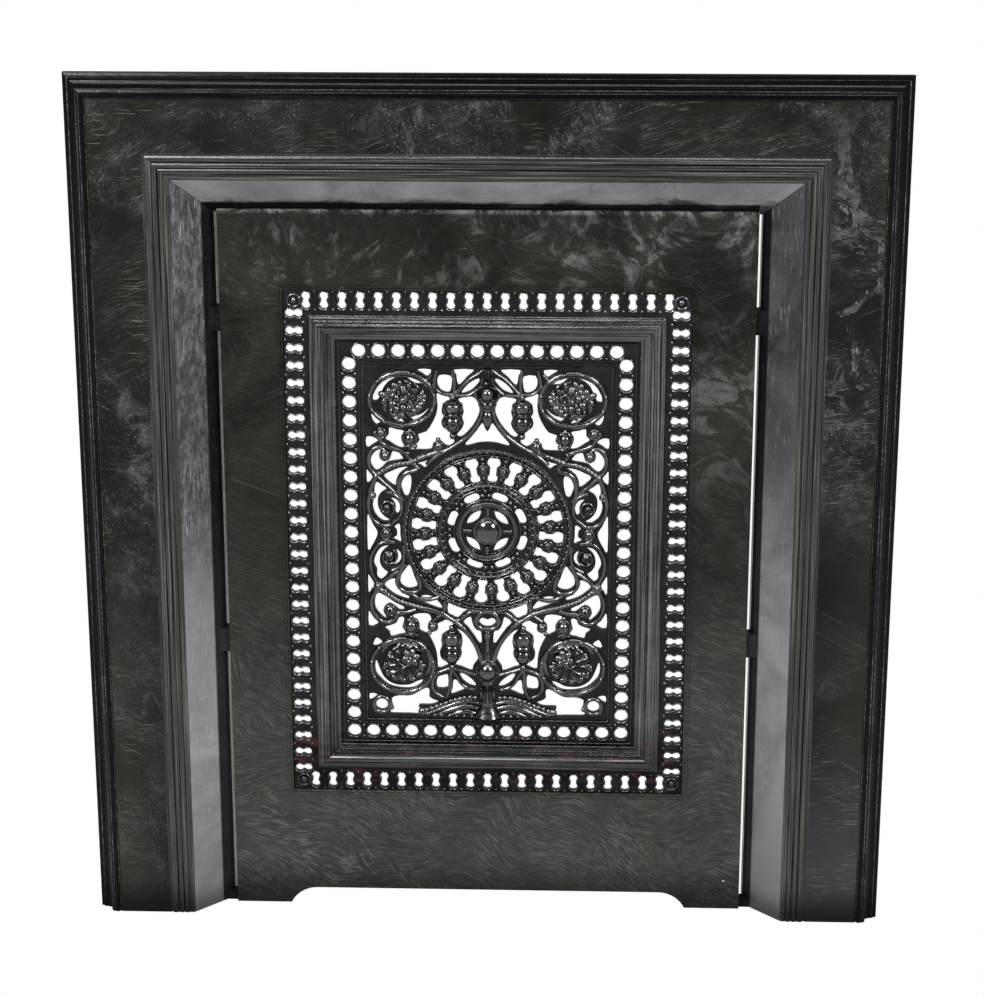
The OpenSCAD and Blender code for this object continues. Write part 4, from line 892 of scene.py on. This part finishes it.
# rims of the inner border's holes: 15 in the bottom row, 14 in the top one and 20 up each side,
# with small drops between them; the rows don't lie at quite the same distance from the middle
HOLES_U, HOLES_TOP, HOLES_LOW = 135.8, 199.5, 198.0
UNDER_TOP = 13.5  # how far the highest hole of a side lies below the top row
STEP_U = 2 * HOLES_U / 14
STEP_V = (HOLES_LOW + HOLES_TOP - UNDER_TOP) / 20
ASIDE = 6.0  # distance of the drops from the line through the holes


def drop(u, v):
    """A small ball beside the line through the holes."""
    relief.add(*dome(u, v, 1.9, 2.2, rings=3, seg=8))


holes = [((i - 7) * STEP_U, -HOLES_LOW) for i in range(15)]
holes += [((i - 6.5) * STEP_U, HOLES_TOP) for i in range(14)]
holes += [(s * HOLES_U, -HOLES_LOW + i * STEP_V) for s in (-1, 1) for i in range(1, 21)]
for u, v in holes:
    relief.add(*tube(arc(u, v, 7.4, 20), 2.0, 1.9, closed=True))
for i in range(14):
    for d in (-ASIDE, ASIDE):
        drop((i - 6.5) * STEP_U, -HOLES_LOW + d)
for i in range(13):
    for d in (-ASIDE, ASIDE):
        drop((i - 6) * STEP_U, HOLES_TOP + d)
for s in (-1, 1):
    for i in range(20):
        for d in (-ASIDE, ASIDE):
            drop(s * HOLES_U + d, -HOLES_LOW + (i + 0.5) * STEP_V)
relief.make("tracery_relief", MATS["grille_iron"], "summer_cover")

# rims of the outer border's waisted slots, 21 across and 28 up each side, with small balls between
rims = Mesh()
BASE = (FRONT - BORDER) * 1000 - 0.1  # the border's face, which lies behind the tracery's
SLOTS_U, SLOTS_V = 188.0, 250.3
FROM_CORNER_U, FROM_CORNER_V = 12, 12.7  # from the corner rings to the first slots
SLOT_STEP_U, SLOT_STEP_V = 2 * (SLOTS_U - FROM_CORNER_U) / 20, 2 * (SLOTS_V - FROM_CORNER_V) / 27
BALL_ASIDE = 9.0  # distance of the balls from the line through the slots


def slot_rim(u, v, turned):
    """Rim of one slot, 0.8 mm outside its edge: round ends at off from its middle and a neck."""
    grow, n = 0.8, 7
    r, off, neck = 4.2 + grow, 4.3, 2.6 + grow
    a0 = math.degrees(math.asin(neck / r))
    pts = [around(off, 0, math.radians(-180 + a0 + (360 - 2 * a0) * i / n), r)
           for i in range(n + 1)]
    pts += [(-p[0], -p[1]) for p in pts]
    pts = [(u - p[1], v + p[0]) if turned else (u + p[0], v + p[1]) for p in pts]
    rims.add(*tube(pts, 1.8, 1.5, base=BASE, closed=True, sides=6))


for s in (-1, 1):
    for i in range(21):
        slot_rim((i - 10) * SLOT_STEP_U, s * SLOTS_V, True)
    for i in range(28):
        slot_rim(s * SLOTS_U, (i - 13.5) * SLOT_STEP_V, False)
    for end in (-1, 1):
        rims.add(*tube(arc(s * SLOTS_U, end * SLOTS_V, 6.2, 18), 2.4, 1.8, base=BASE, closed=True))
        rims.add(*dome(s * SLOTS_U, end * SLOTS_V, 3.4, 2.6, base=BASE))
for s in (-1, 1):
    sides = (-BALL_ASIDE, BALL_ASIDE)
    between = [((i - 9.5) * SLOT_STEP_U, s * SLOTS_V + d) for i in range(20) for d in sides]
    between += [(s * SLOTS_U + d, (i - 13) * SLOT_STEP_V) for i in range(27) for d in sides]
    for u, v in between:
        rims.add(*dome(u, v, 1.7, 1.6, base=BASE, rings=3, seg=8))
rims.make("border_rims", MATS["grille_iron"], "summer_cover")


# ---------------------------------------------------------------- stage
def floor_material():
    """Pale floor that keeps the object's shadow and shows white to the camera and in mirrors."""
    t = Tree("pale_floor")
    path = t.node("ShaderNodeLightPath")
    diff = t.node("ShaderNodeBsdfDiffuse")
    diff.inputs["Color"].default_value = (0.80, 0.80, 0.80, 1)
    white = t.node("ShaderNodeEmission")
    white.inputs["Color"].default_value = (1, 1, 1, 1)
    white.inputs["Strength"].default_value = 1.0
    mix = t.node("ShaderNodeMixShader")
    seen = t.most(path.outputs["Is Camera Ray"], path.outputs["Is Glossy Ray"],
                  path.outputs["Is Transmission Ray"])
    t.link(seen, mix.inputs[0])
    t.link(diff.outputs[0], mix.inputs[1])
    t.link(white.outputs[0], mix.inputs[2])
    t.link(mix.outputs[0], t.out.inputs[0])
    return t.mat


me = bpy.data.meshes.new("floor")
me.from_pydata([(x, y, -0.0002) for x, y in ((-6, -6), (6, -6), (6, 6), (-6, 6))], [],
               [(0, 1, 2, 3)])
floor = bpy.data.objects.new("floor", me)
bpy.context.scene.collection.objects.link(floor)
me.materials.append(floor_material())


def studio():
    """A world that is white to the camera and a dim cool light to all else."""
    world = bpy.data.worlds.new("studio")
    bpy.context.scene.world = world
    world.use_nodes = True
    nodes, links = world.node_tree.nodes, world.node_tree.links
    nodes.clear()
    out = nodes.new("ShaderNodeOutputWorld")
    path = nodes.new("ShaderNodeLightPath")
    mix = nodes.new("ShaderNodeMixShader")
    links.new(path.outputs["Is Camera Ray"], mix.inputs[0])
    for into, tint, strength in ((1, (0.86, 0.92, 1.0, 1), 0.30), (2, (1, 1, 1, 1), 1.0)):
        sky = nodes.new("ShaderNodeBackground")
        sky.inputs["Color"].default_value = tint
        sky.inputs["Strength"].default_value = strength
        links.new(sky.outputs[0], mix.inputs[into])
    links.new(mix.outputs[0], out.inputs[0])


def area(name, at, look, size, power):
    """A soft lamp at one point that faces another."""
    d = bpy.data.lights.new(name, "AREA")
    d.shape = "RECTANGLE"
    d.size, d.size_y = size
    d.energy = power
    o = bpy.data.objects.new(name, d)
    o.location = at
    o.rotation_mode = "QUATERNION"
    o.rotation_quaternion = (Vector(look) - Vector(at)).to_track_quat("-Z", "Y")
    bpy.context.scene.collection.objects.link(o)


studio()
area("key", (-1.2, -1.8, 2.0), (0, 0, 0.4), (0.5, 1.1), 110)
area("fill", (1.4, -1.7, 1.7), (0.1, 0, 0.4), (0.4, 1.0), 75)
area("top", (0.0, -0.7, 2.6), (0, 0, 0.3), (1.6, 0.35), 30)

# ---------------------------------------------------------------- camera, as fitted to the photo
PITCH, YAW = math.radians(16.49), math.radians(-2.03)
cam = bpy.data.cameras.new("camera")
cam.sensor_fit = "HORIZONTAL"
cam.sensor_width = 36.0
cam.lens = 90.46
cam.clip_start, cam.clip_end = 0.05, 50
eye = bpy.data.objects.new("camera", cam)
bpy.context.scene.collection.objects.link(eye)
eye.location = (0.0878, -2.3142 - MID, 1.1352)
eye.rotation_mode = "QUATERNION"
view = Vector((math.sin(YAW) * math.cos(PITCH), math.cos(YAW) * math.cos(PITCH), -math.sin(PITCH)))
eye.rotation_quaternion = view.to_track_quat("-Z", "Y")
bpy.context.scene.camera = eye
bpy.context.scene.view_settings.view_transform = "Standard"
